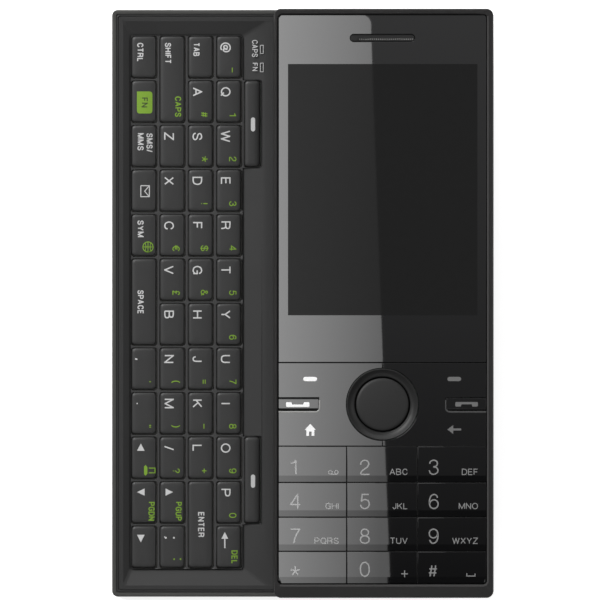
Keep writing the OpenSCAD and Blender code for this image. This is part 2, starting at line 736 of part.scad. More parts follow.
module earpiece() color("#4a4a4a") in_slab() {
    block(ear_size, [panel_mid, ear_y, under_glass - ear_size[2]], 1);
    block([ear_slot[0] - 0.3, ear_slot[1] - 0.3, 0.8], [panel_mid, ear_y, under_glass - eps], 0.5);
}

module pad_board() color("#1f5b3a") in_slab() {
    difference() {
        span([-half_w / 2 + wall + 0.3, panel_y0 + 1, pad_board_z],
            [half_w / 2 - wall - 0.3, lcd_y - lcd[1] / 2 - 0.3, pad_board_z + board_t]);
        each_at(slab_screw_at) cylinder(h = through, r = boss_r + 0.2);
    }
    each_at(concat(press_places(), [nav_place()]))
        translate([0, 0, pad_dome_z - eps]) cylinder(h = pad_dome_h + eps, r = 2);
    // posts up to the key plate
    for (x = [num_x[1], num_x[2]]) for (row = [0, 2])
        translate([x, num_low(row) - seam / 2, pad_board_z])
            cylinder(h = ledge_z - ledge_t - pad_board_z, r = 0.8);
}

module slide_rails() color("#8e8e90") in_slab()
    for (s = [-1, 1]) scale_y(s) {
        outer = guide_y + hook_t / 2 + slide_gap;
        span([-slot_l / 2, outer, plate_z], [slot_l / 2, outer + rail_t, rail_z + rail_t]);
        span([-slot_l / 2, guide_y - 1.6, rail_z], [slot_l / 2, outer + rail_t, rail_z + rail_t]);
    }

// Assist springs: a bowed wire with an eye at each end, from the carriage's pin to the back plate's anchor
module slide_springs() color("#b0b0b2")
    for (s = [-1, 1]) scale_y(s) {
        a = [carriage_x, pin_y];
        b = [travel, anchor_y];
        mid = (a + b) / 2;
        reach = norm(b - a);
        angle = atan2(b[1] - a[1], b[0] - a[0]);
        for (p = [a, b]) translate([p[0], p[1], spring_z]) eye();
        translate([mid[0], mid[1], spring_z]) rotate(angle)
            linear_extrude(2 * wire_r) bow(reach / 2 - 0.6 - wire_r);
    }

module eye() linear_extrude(2 * wire_r) difference() {
    circle(0.65 + 2 * wire_r);
    circle(0.65);
}

module bow(half) {
    rise = half / 2;
    r = (half * half + rise * rise) / (2 * rise);
    translate([0, rise - r]) difference() {
        circle(r + wire_r, $fn = 64);
        circle(r - wire_r, $fn = 64);
        translate([-2 * r, -2 * r - rise + r]) square([4 * r, 2 * r]);
    }
}

// Flat cable from the keyboard half, up through the carriage and along to the display half's board
module flex_cable() color("#b5762f") {
    y = [flex_y - flex_w / 2, flex_y + flex_w / 2];
    low = plate_z + 0.3;
    span([carriage_x - flex_t / 2, y[0], domes_z + 0.02], [carriage_x + flex_t / 2, y[1], low + flex_t]);
    span([carriage_x - flex_t / 2, y[0], low], [travel + 2, y[1], low + flex_t]);
    span([travel + 2 - flex_t, y[0], low], [travel + 2, y[1], pad_board_z]);
    span([travel + 2 - flex_t, y[0], pad_board_z - flex_t], [travel + 6, y[1], pad_board_z]);
}

module slab_screws() color("#8a8a88") in_slab()
    each_at(slab_screw_at) translate([0, 0, slab_z + 0.1]) difference() {
        screw(ledge_z - 0.6 - slab_z - 0.1);
        for (a = [0, 90]) rotate(a) block([1.3, 0.3, 0.6], [0, 0, -0.3]);
    }

// ---- keys of the letter keyboard ----

module key_row(row) for (col = singles[row]) cap(row, col);
module key_row_a() color("#3f3f3f") key_row(0);
module key_row_b() color("#404040") key_row(1);
module key_row_c() color("#414141") key_row(2);
module key_row_d() color("#424242") key_row(3);
module space_key() color("#3f3f3f") cap(0, 5, 2);
module shift_key() color("#404040") cap(1, 0, 2);
module enter_key() color("#414141") cap(2, 10, 2);
module soft_key(s) translate([soft_x, keys_y + s * (soft_y - keys_y), key_z])
    chamfered_cap([soft_w, soft_l, key_h], key_r);
module soft_key_upper() color("#424242") soft_key(1);
module soft_key_lower() color("#424242") soft_key(-1);

// ---- keys of the front panel ----

module plunger(r = plunger_r) translate([0, 0, plunger_z]) cylinder(h = pad_z - plunger_z + eps, r = r);

module number_key(row, col) in_slab() {
    x0 = num_x[col] + (col == 0 ? 0 : seam / 2);
    x1 = num_x[col + 1] - (col == 2 ? 0 : seam / 2);
    y0 = num_low(row);
    intersection() {
        translate([x0, 0, 0]) rotate([90, 0, 90]) linear_extrude(x1 - x0) polygon([
            [y0, pad_z], [y0 + num_l[row], pad_z], [y0 + num_l[row], pad_top],
            [y0 + facet_l, pad_top], [y0, pad_top - facet_d]]);
        translate([panel_mid, panel_mid_y, 0]) linear_extrude(through)
            rounded_rect([panel_w, panel_y1 - panel_y0 - 0.02], 0.6);
    }
    translate([num_mid(col), y0 + num_l[row] / 2, 0]) plunger();
}

module number_key_1() color("#1c1c1e") number_key(0, 0);
module number_key_2() color("#1c1c1e") number_key(0, 1);
module number_key_3() color("#1c1c1e") number_key(0, 2);
module number_key_4() color("#1c1c1e") number_key(1, 0);
module number_key_5() color("#1c1c1e") number_key(1, 1);
module number_key_6() color("#1c1c1e") number_key(1, 2);
module number_key_7() color("#1c1c1e") number_key(2, 0);
module number_key_8() color("#1c1c1e") number_key(2, 1);
module number_key_9() color("#1c1c1e") number_key(2, 2);
module star_key() color("#1c1c1e") number_key(3, 0);
module number_key_0() color("#1c1c1e") number_key(3, 1);
module hash_key() color("#1c1c1e") number_key(3, 2);

// Disc under the ring that lets it tilt both ways
module nav_pivot() color("#77777a") in_slab() translate([panel_mid, nav_y, 0]) difference() {
    translate([0, 0, ledge_z - 0.5]) cylinder(h = 0.4, r = nav_r - 0.6);
    cylinder(h = through, r = 2.2);
}

module nav_ring() color("#232326") in_slab() translate([panel_mid, nav_y, 0]) rotate_extrude($fn = 64)
    polygon([[nav_button_r + panel_gap, pad_z], [nav_r, pad_z], [nav_r, slab_top - 0.1],
        [nav_r - 0.25, slab_top - 0.1], [nav_button_r + 0.9, pad_z + 0.55],
        [nav_button_r + panel_gap, pad_z + 0.4]]);

module nav_button() color("#333335") in_slab() translate([panel_mid, nav_y, 0]) {
    dome_r = 60;
    rotate_extrude($fn = 64) intersection() {
        translate([0, pad_top - dome_r]) circle(dome_r, $fn = 720);
        translate([0, pad_z]) square([nav_button_r, pad_t + 0.1]);
    }
    plunger(1.6);
}

// Raised bar; s is -1 for the call key and 1 for the end key
module side_bar(s) in_slab() each_at([bar_place(s)]) {
    translate([0, 0, pad_z]) intersection() {
        block([call_w, call_l, pad_t + bar_rise]);
        rotate([90, 0, 90]) linear_extrude(call_w + 1, center = true) polygon([
            [-call_l / 2, 0], [call_l / 2, 0], [call_l / 2, pad_t], [call_l / 2 - 0.15, pad_t + bar_rise],
            [-call_l / 2 + 0.4, pad_t + bar_rise], [-call_l / 2, pad_t - 0.15]]);
    }
    plunger();
}

module call_key() color("#2a2a2c") side_bar(-1);
module end_key() color("#2a2a2c") side_bar(1);

// Panel beside the navigation ring, which rocks about the call or end key
module side_rocker(s) in_slab() {
    difference() {
        span([s < 0 ? panel_left : panel_mid + seam / 4, nav_y0, pad_z],
            [s < 0 ? panel_mid - seam / 4 : panel_right, nav_y1, pad_top]);
        each_at([nav_place()]) cylinder(h = through, r = nav_r + panel_gap, $fn = 64);
        each_at([bar_place(s)]) block([call_w + 2 + seam, call_l + 2 * seam, through], [s, 0, 0]);
    }
    each_at(rocker_places(s)) plunger();
}

module left_rocker() color("#1c1c1e") side_rocker(-1);
module right_rocker() color("#1c1c1e") side_rocker(1);

// ---- keys in the keyboard half's right side ----

module side_key(key) {
    inner = half_w / 2 - wall - press - 0.05;      // outer face of the flange that keeps it in
    span([inner - eps, key[0] - key[1] / 2, side_key_z - side_key_h / 2],
        [half_w / 2 + 0.3, key[0] + key[1] / 2, side_key_z + side_key_h / 2]);
    span([inner - 0.4, key[0] - key[1] / 2 - 0.6, side_key_z - side_key_h / 2 - 0.3],
        [inner, key[0] + key[1] / 2 + 0.6, side_key_z + side_key_h / 2 + 0.3]);
}

module camera_key() color("#777776") side_key(camera_key_at);
module volume_rocker() color("#777776") side_key(volume_at);

rear_housing();
keyboard_deck();
key_web();
key_mat();
dome_sheet();
keyboard_board();
main_board();
shield_cans();
battery();
battery_contacts();
sim_holder();
card_holder();
camera_module();
camera_window();
loudspeaker();
vibration_motor();
charge_socket();
housing_screws();
slide_carriage();
battery_cover();
slab_frame();
slab_back();
display_glass();
lcd_panel();
earpiece();
pad_board();
slide_rails();
slide_springs();
flex_cable();
slab_screws();
key_row_a();
key_row_b();
key_row_c();
key_row_d();
space_key();
enter_key();
shift_key();
soft_key_upper();
soft_key_lower();
number_key_1();
number_key_2();
number_key_3();
number_key_4();
number_key_5();
number_key_6();
number_key_7();
number_key_8();
number_key_9();
star_key();
number_key_0();
hash_key();
nav_pivot();
nav_ring();
nav_button();
call_key();
end_key();
left_rocker();
right_rocker();
camera_key();
volume_rocker();
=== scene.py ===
import bmesh
import bpy
import json
import math
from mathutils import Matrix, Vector


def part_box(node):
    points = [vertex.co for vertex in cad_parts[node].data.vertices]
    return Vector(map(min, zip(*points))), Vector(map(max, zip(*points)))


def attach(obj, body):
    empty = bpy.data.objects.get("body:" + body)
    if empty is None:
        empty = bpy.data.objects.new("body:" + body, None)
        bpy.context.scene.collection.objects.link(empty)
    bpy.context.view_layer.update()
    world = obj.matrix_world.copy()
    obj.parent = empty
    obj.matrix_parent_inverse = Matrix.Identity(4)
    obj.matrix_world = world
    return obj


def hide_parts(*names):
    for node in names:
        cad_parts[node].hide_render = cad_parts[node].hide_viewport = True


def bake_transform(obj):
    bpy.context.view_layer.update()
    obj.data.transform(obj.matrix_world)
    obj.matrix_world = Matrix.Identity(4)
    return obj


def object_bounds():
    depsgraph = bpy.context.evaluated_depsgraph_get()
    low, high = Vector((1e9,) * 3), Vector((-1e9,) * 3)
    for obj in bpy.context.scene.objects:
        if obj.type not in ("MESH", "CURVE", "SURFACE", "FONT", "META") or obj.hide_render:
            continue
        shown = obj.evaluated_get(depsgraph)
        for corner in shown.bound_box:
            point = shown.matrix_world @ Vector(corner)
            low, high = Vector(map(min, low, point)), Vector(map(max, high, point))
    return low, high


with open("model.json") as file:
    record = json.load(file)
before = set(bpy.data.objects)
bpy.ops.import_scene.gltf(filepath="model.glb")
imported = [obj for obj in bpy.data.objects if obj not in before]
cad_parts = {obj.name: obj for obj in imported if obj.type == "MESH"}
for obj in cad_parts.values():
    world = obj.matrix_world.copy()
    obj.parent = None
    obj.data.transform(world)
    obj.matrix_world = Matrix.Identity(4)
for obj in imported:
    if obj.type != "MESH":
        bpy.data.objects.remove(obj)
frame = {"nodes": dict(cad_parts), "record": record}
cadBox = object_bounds()
nodes = frame["nodes"]
mm = 0.001
print("frame loaded:", len(nodes), "nodes")

# the photograph: real size of a pixel, and the pixel over the middle of the keyboard half
photo = {"pixel": 0.1973 * mm, "originU": 221.5, "originV": 303.3, "width": 600}


def across(u):
    return (u - photo["originU"]) * photo["pixel"]


def along(v):
    return (photo["originV"] - v) * photo["pixel"]


def linear(hexColour):
    out = []
    for i in (0, 2, 4):
        c = int(hexColour[i:i + 2], 16) / 255
        out.append(c / 12.92 if c <= 0.04045 else ((c + 0.055) / 1.055) ** 2.4)
    return (*out, 1.0)


def addNode(tree, kind, settings=None, links=None):
    node = tree.nodes.new(kind)
    for key, value in (settings or {}).items():
        if isinstance(key, int) or key in node.inputs:
            node.inputs[key].default_value = value
        else:
            setattr(node, key, value)
    for key, source in (links or {}).items():
        tree.links.new(source, node.inputs[key])
    return node


def newMaterial(name):
    mat = bpy.data.materials.new(name)
    mat.use_nodes = True
    mat.node_tree.nodes.clear()
    return mat, mat.node_tree


def finishMaterial(tree, shader):
    addNode(tree, "ShaderNodeOutputMaterial", None, {"Surface": shader.outputs[0]})


def mouldedPlastic(name, colour, roughness, grain=0.12, depth=0.02, tone=0.06, ior=1.52, specular=0.35):
    # ABS out of a spark-eroded mould: the grain breaks the highlight and varies the tone a little
    mat, tree = newMaterial(name)
    place = addNode(tree, "ShaderNodeTexCoord")
    spark = addNode(tree, "ShaderNodeTexNoise", {"Scale": 1 / (grain * mm), "Detail": 3.0, "Roughness": 0.6},
                    {"Vector": place.outputs["Object"]})
    cloud = addNode(tree, "ShaderNodeTexNoise", {"Scale": 1 / (14 * mm), "Detail": 2.0},
                    {"Vector": place.outputs["Object"]})
    base = Vector(linear(colour)[:3])
    ramp = addNode(tree, "ShaderNodeValToRGB", None, {"Fac": cloud.outputs["Fac"]})
    ramp.color_ramp.elements[0].position = 0.3
    ramp.color_ramp.elements[1].position = 0.7
    ramp.color_ramp.elements[0].color = (*(base * (1 - tone)), 1)
    ramp.color_ramp.elements[1].color = (*(base * (1 + tone)), 1)
    rough = addNode(tree, "ShaderNodeMapRange", {"To Min": roughness - 0.05, "To Max": roughness + 0.05},
                    {"Value": spark.outputs["Fac"]})
    bump = addNode(tree, "ShaderNodeBump", {"Strength": 0.35, "Distance": depth * mm},
                   {"Height": spark.outputs["Fac"]})
    shader = addNode(tree, "ShaderNodeBsdfPrincipled", {"IOR": ior, "Specular IOR Level": specular},
                     {"Base Color": ramp.outputs["Color"], "Roughness": rough.outputs["Result"],
                      "Normal": bump.outputs["Normal"]})
    finishMaterial(tree, shader)
    return mat


def polishedPlastic(name, colour, roughness, ior=1.5, specular=0.5, wave=0.0):
    # lacquered or moulded in a polished tool: a mirror image with barely any orange peel
    mat, tree = newMaterial(name)
    place = addNode(tree, "ShaderNodeTexCoord")
    peel = addNode(tree, "ShaderNodeTexNoise", {"Scale": 1 / (1.6 * mm), "Detail": 1.0},
                   {"Vector": place.outputs["Object"]})
    base = Vector(linear(colour)[:3])
    ramp = addNode(tree, "ShaderNodeValToRGB", None, {"Fac": peel.outputs["Fac"]})
    ramp.color_ramp.elements[0].color = (*(base * 0.96), 1)
    ramp.color_ramp.elements[1].color = (*(base * 1.04), 1)
    bump = addNode(tree, "ShaderNodeBump", {"Strength": 0.2, "Distance": wave * mm},
                   {"Height": peel.outputs["Fac"]})
    shader = addNode(tree, "ShaderNodeBsdfPrincipled",
                     {"IOR": ior, "Specular IOR Level": specular, "Roughness": roughness},
                     {"Base Color": ramp.outputs["Color"], "Normal": bump.outputs["Normal"]})
    finishMaterial(tree, shader)
    return mat


def sheetMetal(name, colour, roughness, grain=0.25):
    # rolled metal: fine lines along the sheet that stretch the highlight
    mat, tree = newMaterial(name)
    place = addNode(tree, "ShaderNodeTexCoord")
    stretch = addNode(tree, "ShaderNodeMapping", {"Scale": (1.0, 0.06, 1.0)},
                      {"Vector": place.outputs["Object"]})
    lines = addNode(tree, "ShaderNodeTexNoise", {"Scale": 1 / (grain * mm), "Detail": 2.0},
                    {"Vector": stretch.outputs["Vector"]})
    rough = addNode(tree, "ShaderNodeMapRange", {"To Min": roughness - 0.08, "To Max": roughness + 0.08},
                    {"Value": lines.outputs["Fac"]})
    bump = addNode(tree, "ShaderNodeBump", {"Strength": 0.2, "Distance": 0.01 * mm},
                   {"Height": lines.outputs["Fac"]})
    shader = addNode(tree, "ShaderNodeBsdfPrincipled", {"Base Color": linear(colour), "Metallic": 1.0},
                     {"Roughness": rough.outputs["Result"], "Normal": bump.outputs["Normal"]})
    finishMaterial(tree, shader)
    return mat


def printedInk(name, colour, roughness, specular=0.5):
    # screen-printed ink, a touch uneven where the mesh let less through
    mat, tree = newMaterial(name)
    place = addNode(tree, "ShaderNodeTexCoord")
    mesh = addNode(tree, "ShaderNodeTexNoise", {"Scale": 1 / (0.3 * mm), "Detail": 1.0},
                   {"Vector": place.outputs["Object"]})
    base = Vector(linear(colour)[:3])
    ramp = addNode(tree, "ShaderNodeValToRGB", None, {"Fac": mesh.outputs["Fac"]})
    ramp.color_ramp.elements[0].color = (*(base * 0.9), 1)
    ramp.color_ramp.elements[1].color = (*(base * 1.05), 1)
    shader = addNode(tree, "ShaderNodeBsdfPrincipled",
                     {"IOR": 1.5, "Specular IOR Level": specular, "Roughness": roughness},
                     {"Base Color": ramp.outputs["Color"]})
    finishMaterial(tree, shader)
    return mat


def circuitLaminate(name):
    # glass-epoxy board under green solder resist, with the weave faintly in it
    mat, tree = newMaterial(name)
    place = addNode(tree, "ShaderNodeTexCoord")
    weave = addNode(tree, "ShaderNodeTexWave", {"Scale": 1 / (3 * mm), "Distortion": 0.3},
                    {"Vector": place.outputs["Object"]})
    ramp = addNode(tree, "ShaderNodeValToRGB", None, {"Fac": weave.outputs["Fac"]})
    ramp.color_ramp.elements[0].color = linear("17472c")
    ramp.color_ramp.elements[1].color = linear("1f5b3a")
    shader = addNode(tree, "ShaderNodeBsdfPrincipled", {"IOR": 1.55, "Roughness": 0.3},
                     {"Base Color": ramp.outputs["Color"]})
    finishMaterial(tree, shader)
    return mat


finishes = {
    # ABS, fine spark grain: reads as an even dark grey
    "shellPlastic": mouldedPlastic("mouldedShellPlastic", "343433", 0.5),
    # the same ABS, clear lacquered: the rim catches a little more light
    "rimPlastic": mouldedPlastic("lacqueredRimPlastic", "424240", 0.36, grain=0.2, depth=0.01),
    # ABS, satin grain: a broad, soft highlight
    "deckPlastic": mouldedPlastic("satinDeckPlastic", "2e2e2e", 0.42),
    # polycarbonate key web and caps, satin: the light fades slowly over each cap
    "webPlastic": mouldedPlastic("satinWebPlastic", "393939", 0.42, grain=0.18),
    "capPlastic": mouldedPlastic("satinKeyPlastic", "333333", 0.4, grain=0.18, depth=0.012, tone=0.03),
    # ABS with a finer grain: darker and a little shinier than the deck
    "bezelPlastic": mouldedPlastic("satinBezelPlastic", "1d1c1c", 0.36, grain=0.2, depth=0.008),
    # soft-touch lacquer: nearly no highlight
    "buttonPlastic": mouldedPlastic("softTouchButtonPlastic", "262626", 0.5, grain=0.15, specular=0.3),
    # polycarbonate out of a polished mould: mirror black
    "panelPlastic": polishedPlastic("polishedBlackPlastic", "0d0d0e", 0.012),
    # float glass painted black on its back: the same mirror, a touch sharper
    "sheetGlass": polishedPlastic("backPaintedGlass", "0f0f10", 0.01, ior=1.52),
    # unlit display under a coated film, which takes most of the reflection away
    "screenFilm": polishedPlastic("coatedScreenFilm", "202020", 0.015, ior=1.45, specular=0.045),
    # ABS moulded satin: a dim light that runs round the dish
    "ringPlastic": polishedPlastic("satinRingPlastic", "262626", 0.4, wave=0.004, specular=0.3),
    # opaque inks screen-printed on the caps: flat and dull
    "whiteInk": printedInk("whiteKeyInk", "c8c8c8", 0.5, specular=0.2),
    "greenInk": printedInk("greenKeyInk", "7ba038", 0.5, specular=0.2),
    # inks under the gloss lacquer of the front panel: as shiny as the panel
    "brightInk": printedInk("whitePanelInk", "ececec", 0.05),
    "paleInk": printedInk("greyPanelInk", "8b8b8b", 0.05),
    "dimInk": printedInk("darkGreyPanelInk", "707070", 0.05),
    # dull dark ink of the letters in the green patch
    "darkInk": printedInk("darkPatchInk", "3c4a22", 0.5),
    # moulded lips beside the call and end keys, one plastic in a lit and a shaded copy: the call key's lip much
    # lighter as a painted highlight, the end key's lip darker as painted shade
    "highlightPaintedLip": mouldedPlastic("paintedHighlightLipPlastic", "9c9c9a", 0.3, grain=0.2, depth=0.005),
    "shadePaintedLip": mouldedPlastic("paintedShadeLipPlastic", "454545", 0.3, grain=0.2, depth=0.005),
    # flat strips let into the bezel, colour only: a thin lighter line painted as the highlight of the polished
    # inner chamfer, and a black line painted as the shadow in the groove beside it
    "chamferHighlightPaint": polishedPlastic("paintedChamferHighlightPlastic", "3b3a3a", 0.3),
    "grooveShadowPaint": polishedPlastic("paintedGrooveShadowPlastic", "0a0a0a", 0.6, specular=0.1),
    # rolled stainless steel: grey, its highlight drawn out along the sheet
    "stainlessSteel": sheetMetal("rolledStainlessSteel", "9d9d9c", 0.32),
    # steel sheet plated with tin: paler and brighter
    "tinnedSteel": sheetMetal("tinnedSheetSteel", "b9b9b6", 0.28),
    # spring steel coloured near black as painted shade: the ring's gap over it stays dark instead of showing
    # the softbox mirrored in bright steel
    "paintedShadeSteel": sheetMetal("paintedShadeSpringSteel", "161616", 0.6),
    # gold-plated brass: warm yellow springs
    "goldPlate": sheetMetal("goldPlatedBrass", "d0a458", 0.22),
    # woven bright wire: fine points of light; drawn coarser than the real cloth so that it shows
    "wireCloth": sheetMetal("brightWireCloth", "8c8c8a", 0.35, grain=0.1),
    # glass-epoxy board under solder resist: green, faintly woven
    "boardLaminate": circuitLaminate("greenBoardLaminate"),
    # film shrunk round the cell: dull warm grey
    "cellWrap": mouldedPlastic("wrappedCellFilm", "5c5b57", 0.4, grain=0.5),
    # glass-filled nylon bodies of bought parts: dull black
    "blackModule": mouldedPlastic("blackModulePlastic", "1e1e1e", 0.45),
    # moulded silicone rubber: pale, no clear highlight
    "siliconeRubber": mouldedPlastic("greySiliconeRubber", "8f8f8b", 0.55, ior=1.41),
    # polyimide film over copper: amber, shiny
    "polyimideFilm": polishedPlastic("amberPolyimideFilm", "9a5a1c", 0.2, ior=1.7),
    # tinted acrylic over the camera: near-black mirror
    "darkWindow": polishedPlastic("darkCameraWindow", "0c0c0e", 0.03),
}
print("materials made:", len(finishes))


# CAD nodes that keep their own mesh, with the finish that each gets
finishedNodes = {
    "shellPlastic": ["rear_housing", "battery_cover", "slab_back"],
    "rimPlastic": ["camera_key", "volume_rocker"],
    "siliconeRubber": ["key_mat"], "tinnedSteel": ["dome_sheet", "shield_cans", "sim_holder", "card_holder"],
    "boardLaminate": ["keyboard_board", "main_board", "pad_board"], "cellWrap": ["battery"],
    "goldPlate": ["battery_contacts"], "blackModule": ["camera_module", "loudspeaker", "lcd_panel", "earpiece"],
    # nav_pivot takes the near-black steel, painted shade for the ring's gap
    "darkWindow": ["camera_window"], "polyimideFilm": ["flex_cable"], "paintedShadeSteel": ["nav_pivot"],
    "stainlessSteel": ["vibration_motor", "charge_socket", "housing_screws", "slide_carriage", "slide_rails",
                       "slide_springs", "slab_screws"],
}
for finish, nodeNames in finishedNodes.items():
    for nodeName in nodeNames:
        mesh = nodes[nodeName].data
        mesh.materials.clear()
        mesh.materials.append(finishes[finish])


def newObject(name, mesh):
    obj = bpy.data.objects.new(name, mesh)
    bpy.context.scene.collection.objects.link(obj)
    return obj


def plainMesh(obj, name):
    # the evaluated object as a mesh of its own; the object that made it goes
    bpy.context.view_layer.update()
    seen = obj.evaluated_get(bpy.context.evaluated_depsgraph_get())
    mesh = bpy.data.meshes.new_from_object(seen)
    mesh.name = name
    bpy.data.objects.remove(obj)
    return mesh


def finishedMesh(bm, name, finish=None, sharpFrom=None):
    # the bmesh as a mesh; edges sharper than sharpFrom degrees stay sharp, the rest is shaded smooth
    mesh = bpy.data.meshes.new(name)
    bm.to_mesh(mesh)
    bm.free()
    if sharpFrom:
        mesh.polygons.foreach_set("use_smooth", [True] * len(mesh.polygons))
        mesh.set_sharp_from_angle(angle=math.radians(sharpFrom))
    if finish:
        mesh.materials.append(finishes[finish])
    return mesh


def addPiece(name, mesh, body, nodeName=None):
    # a piece on its body, which stands for a CAD node where one is named
    obj = newObject(name, mesh)
    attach(obj, body)
    if nodeName:
        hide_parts(nodeName)


def bridge(bm, rings, ends=True):
    # faces between rings of corners that follow one another, and over the first and the last
    for one, two in zip(rings, rings[1:]):
        for i in range(len(one)):
            j = (i + 1) % len(one)
            bm.faces.new(list(dict.fromkeys((one[i], one[j], two[j], two[i]))))
    if ends:
        bm.faces.new(rings[-1])
        bm.faces.new(rings[0][::-1])
    bmesh.ops.recalc_face_normals(bm, faces=bm.faces)


# how CAD nodes are merged and rounded: distances in mm, angles in degrees
softening = {"merge": 0.002, "flatWithin": 0.5, "squareWithin": 180, "bevelFrom": 25, "sharpFrom": 35}


def mergedCopy(nodeName):
    # triangles in one plane become quads and small polygons, never one face around a hole
    bm = bmesh.new()
    bm.from_mesh(nodes[nodeName].data)
    bmesh.ops.remove_doubles(bm, verts=bm.verts, dist=softening["merge"] * mm)
    bmesh.ops.join_triangles(bm, faces=bm.faces, angle_face_threshold=math.radians(softening["flatWithin"]),
                             angle_shape_threshold=math.radians(softening["squareWithin"]))
    return bm


def softened(name, nodeName, body, width, finish, segments=2, region=None):
    # a merged copy of a CAD node with its edges rounded as the mould rounds them
    mesh = finishedMesh(mergedCopy(nodeName), name, sharpFrom=softening["sharpFrom"])
    obj = newObject(name + "Rounding", mesh)
    bevel = obj.modifiers.new("rounding", "BEVEL")
    bevel.width = width * mm
    bevel.segments = segments
    bevel.limit_method = "ANGLE"
    bevel.angle_limit = math.radians(softening["bevelFrom"])
    bevel.use_clamp_overlap = False
    evened = obj.modifiers.new("flatFaces", "WEIGHTED_NORMAL")
    evened.weight = 100
    evened.keep_sharp = True
    mesh = plainMesh(obj, name)
    low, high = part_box(nodeName)
    for vertex in mesh.vertices:  # a rounding that runs over at a tight corner stays inside the node
        vertex.co = [min(max(c, a), b) for c, a, b in zip(vertex.co, low, high)]
    for f in [finish] if isinstance(finish, str) else finish:
        mesh.materials.append(finishes[f])
    if region:
        for poly in mesh.polygons:
            poly.material_index = region(poly)
    addPiece(name, mesh, body, nodeName)


# keyboard half
deck = {"rim": 0.8, "rimSpare": 0.02, "rounding": 0.06, "webRounding": 0.05}
deckLow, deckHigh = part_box("keyboard_deck")


def deckRegion(poly):
    x, y, z = poly.center
    edge = min(x - deckLow.x, deckHigh.x - x, y - deckLow.y, deckHigh.y - y) / mm
    return 1 if edge < deck["rim"] + deck["rimSpare"] else 0


softened("deckShell", "keyboard_deck", "keyboard_half", deck["rounding"],
         ["deckPlastic", "rimPlastic"], region=deckRegion)
softened("keyWebShell", "key_web", "keyboard_half", deck["webRounding"], "webPlastic")
print("deck and web made")

# key caps: soft pillows, a little nearer the web at their upper and left sides
cap = {"corner": 0.65, "dome": 0.24, "shift": 0.09, "cornerSteps": 4,
       "insets": (0.0, 0.0, 0.05, 0.14, 0.3, 0.6, 1.05, 1.6, 2.1),
       "drops": (0.9, 0.36, 0.2, 0.09, 0.03, 0, 0, 0, 0),
       "skirt": 0.5, "sharpFrom": 50, "least": 0.1, "leastCorner": 0.08, "cornerShare": 0.6}


def outline(width, length, corner, steps):
    points = []
    for turn, (sx, sy) in enumerate(((1, 1), (-1, 1), (-1, -1), (1, -1))):
        for i in range(steps + 1):
            a = math.pi / 2 * (turn + i / steps)
            points.append((sx * (width / 2 - corner) + corner * math.cos(a),
                           sy * (length / 2 - corner) + corner * math.sin(a)))
    return points


def capSurface(dx, halfWidth):
    return -cap["dome"] * mm * (dx / halfWidth) ** 2


def capMesh(name, width, length, top):
    # rings of one rounded outline, each further in and higher, over a crowned middle
    bm = bmesh.new()
    rings = []
    for inset, drop in zip(cap["insets"], cap["drops"]):
        inset = min(inset * mm, width / 2 - cap["least"] * mm)
        corner = max(cap["corner"] * mm - inset * cap["cornerShare"], cap["leastCorner"] * mm)
        ring = []
        for x, y in outline(width - 2 * inset, length - 2 * inset, corner, cap["cornerSteps"]):
            z = top - drop * mm + (capSurface(x, width / 2) if drop < cap["skirt"] else 0)
            ring.append(bm.verts.new((x, y, z)))
        rings.append(ring)
    bridge(bm, rings)
    return finishedMesh(bm, name, sharpFrom=cap["sharpFrom"])


def newTree(name, inputs, output):
    # a node group with its inputs, and what its input node gives
    tree = bpy.data.node_groups.new(name, "GeometryNodeTree")
    for label, kind in inputs.items():
        tree.interface.new_socket(label, in_out="INPUT", socket_type="NodeSocket" + kind)
    tree.interface.new_socket(output, in_out="OUTPUT", socket_type="NodeSocketGeometry")
    return tree, addNode(tree, "NodeGroupInput").outputs


def capPlacingTree():
    # one cap on every point of the row
    tree, given = newTree("capPlacing", {"Row": "Geometry", "Cap": "Object", "Plastic": "Material"}, "Keys")
    form = addNode(tree, "GeometryNodeObjectInfo", {"As Instance": True}, {"Object": given["Cap"]})
    placed = addNode(tree, "GeometryNodeInstanceOnPoints", None,
                     {"Points": given["Row"], "Instance": form.outputs["Geometry"]})
    real = addNode(tree, "GeometryNodeRealizeInstances", None, {"Geometry": placed.outputs["Instances"]})
    painted = addNode(tree, "GeometryNodeSetMaterial", None,
                      {"Geometry": real.outputs["Geometry"], "Material": given["Plastic"]})
    addNode(tree, "NodeGroupOutput", None, {"Keys": painted.outputs["Geometry"]})
    return tree


def setInput(modifier, name, value):
    for item in modifier.node_group.interface.items_tree:
        if item.item_type == "SOCKET" and item.in_out == "INPUT" and item.name == name:
            modifier[item.identifier] = value
            return
    raise KeyError(name)


keyPlacing = capPlacingTree()
keySize = {"across": 4.82 * mm, "along": 8.15 * mm, "pitch": 8.81 * mm}
rowNames = ["key_row_a", "key_row_b", "key_row_c", "key_row_d"]
rowSingles = [[0, 1, 2, 3, 4, 7, 8, 9, 10, 11], [2, 3, 4, 5, 6, 7, 8, 9, 10, 11],
              [0, 1, 2, 3, 4, 5, 6, 7, 8, 9], list(range(12))]
wideKeys = ["space_key", "enter_key", "shift_key", "soft_key_upper", "soft_key_lower"]
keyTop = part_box("key_row_a")[1].z
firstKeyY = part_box("key_row_a")[1].y - keySize["along"] / 2


def rowX(row):
    low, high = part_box(rowNames[row])
    return (low.x + high.x) / 2


def colY(col):
    return firstKeyY - col * keySize["pitch"]


def placeKey(name, nodeName, width, length, points):
    form = newObject(name + "Form", capMesh(name + "Form", width, length, 0))
    row = bpy.data.meshes.new(name + "Row")
    shift = cap["shift"] * mm
    row.from_pydata([(x - shift, y + shift, keyTop) for x, y in points], [], [])
    obj = newObject(name + "Points", row)
    modifier = obj.modifiers.new("placing", "NODES")
    modifier.node_group = keyPlacing
    setInput(modifier, "Cap", form)
    setInput(modifier, "Plastic", finishes["capPlastic"])
    mesh = plainMesh(obj, name)
    bpy.data.objects.remove(form)
    addPiece(name, mesh, nodeName, nodeName)


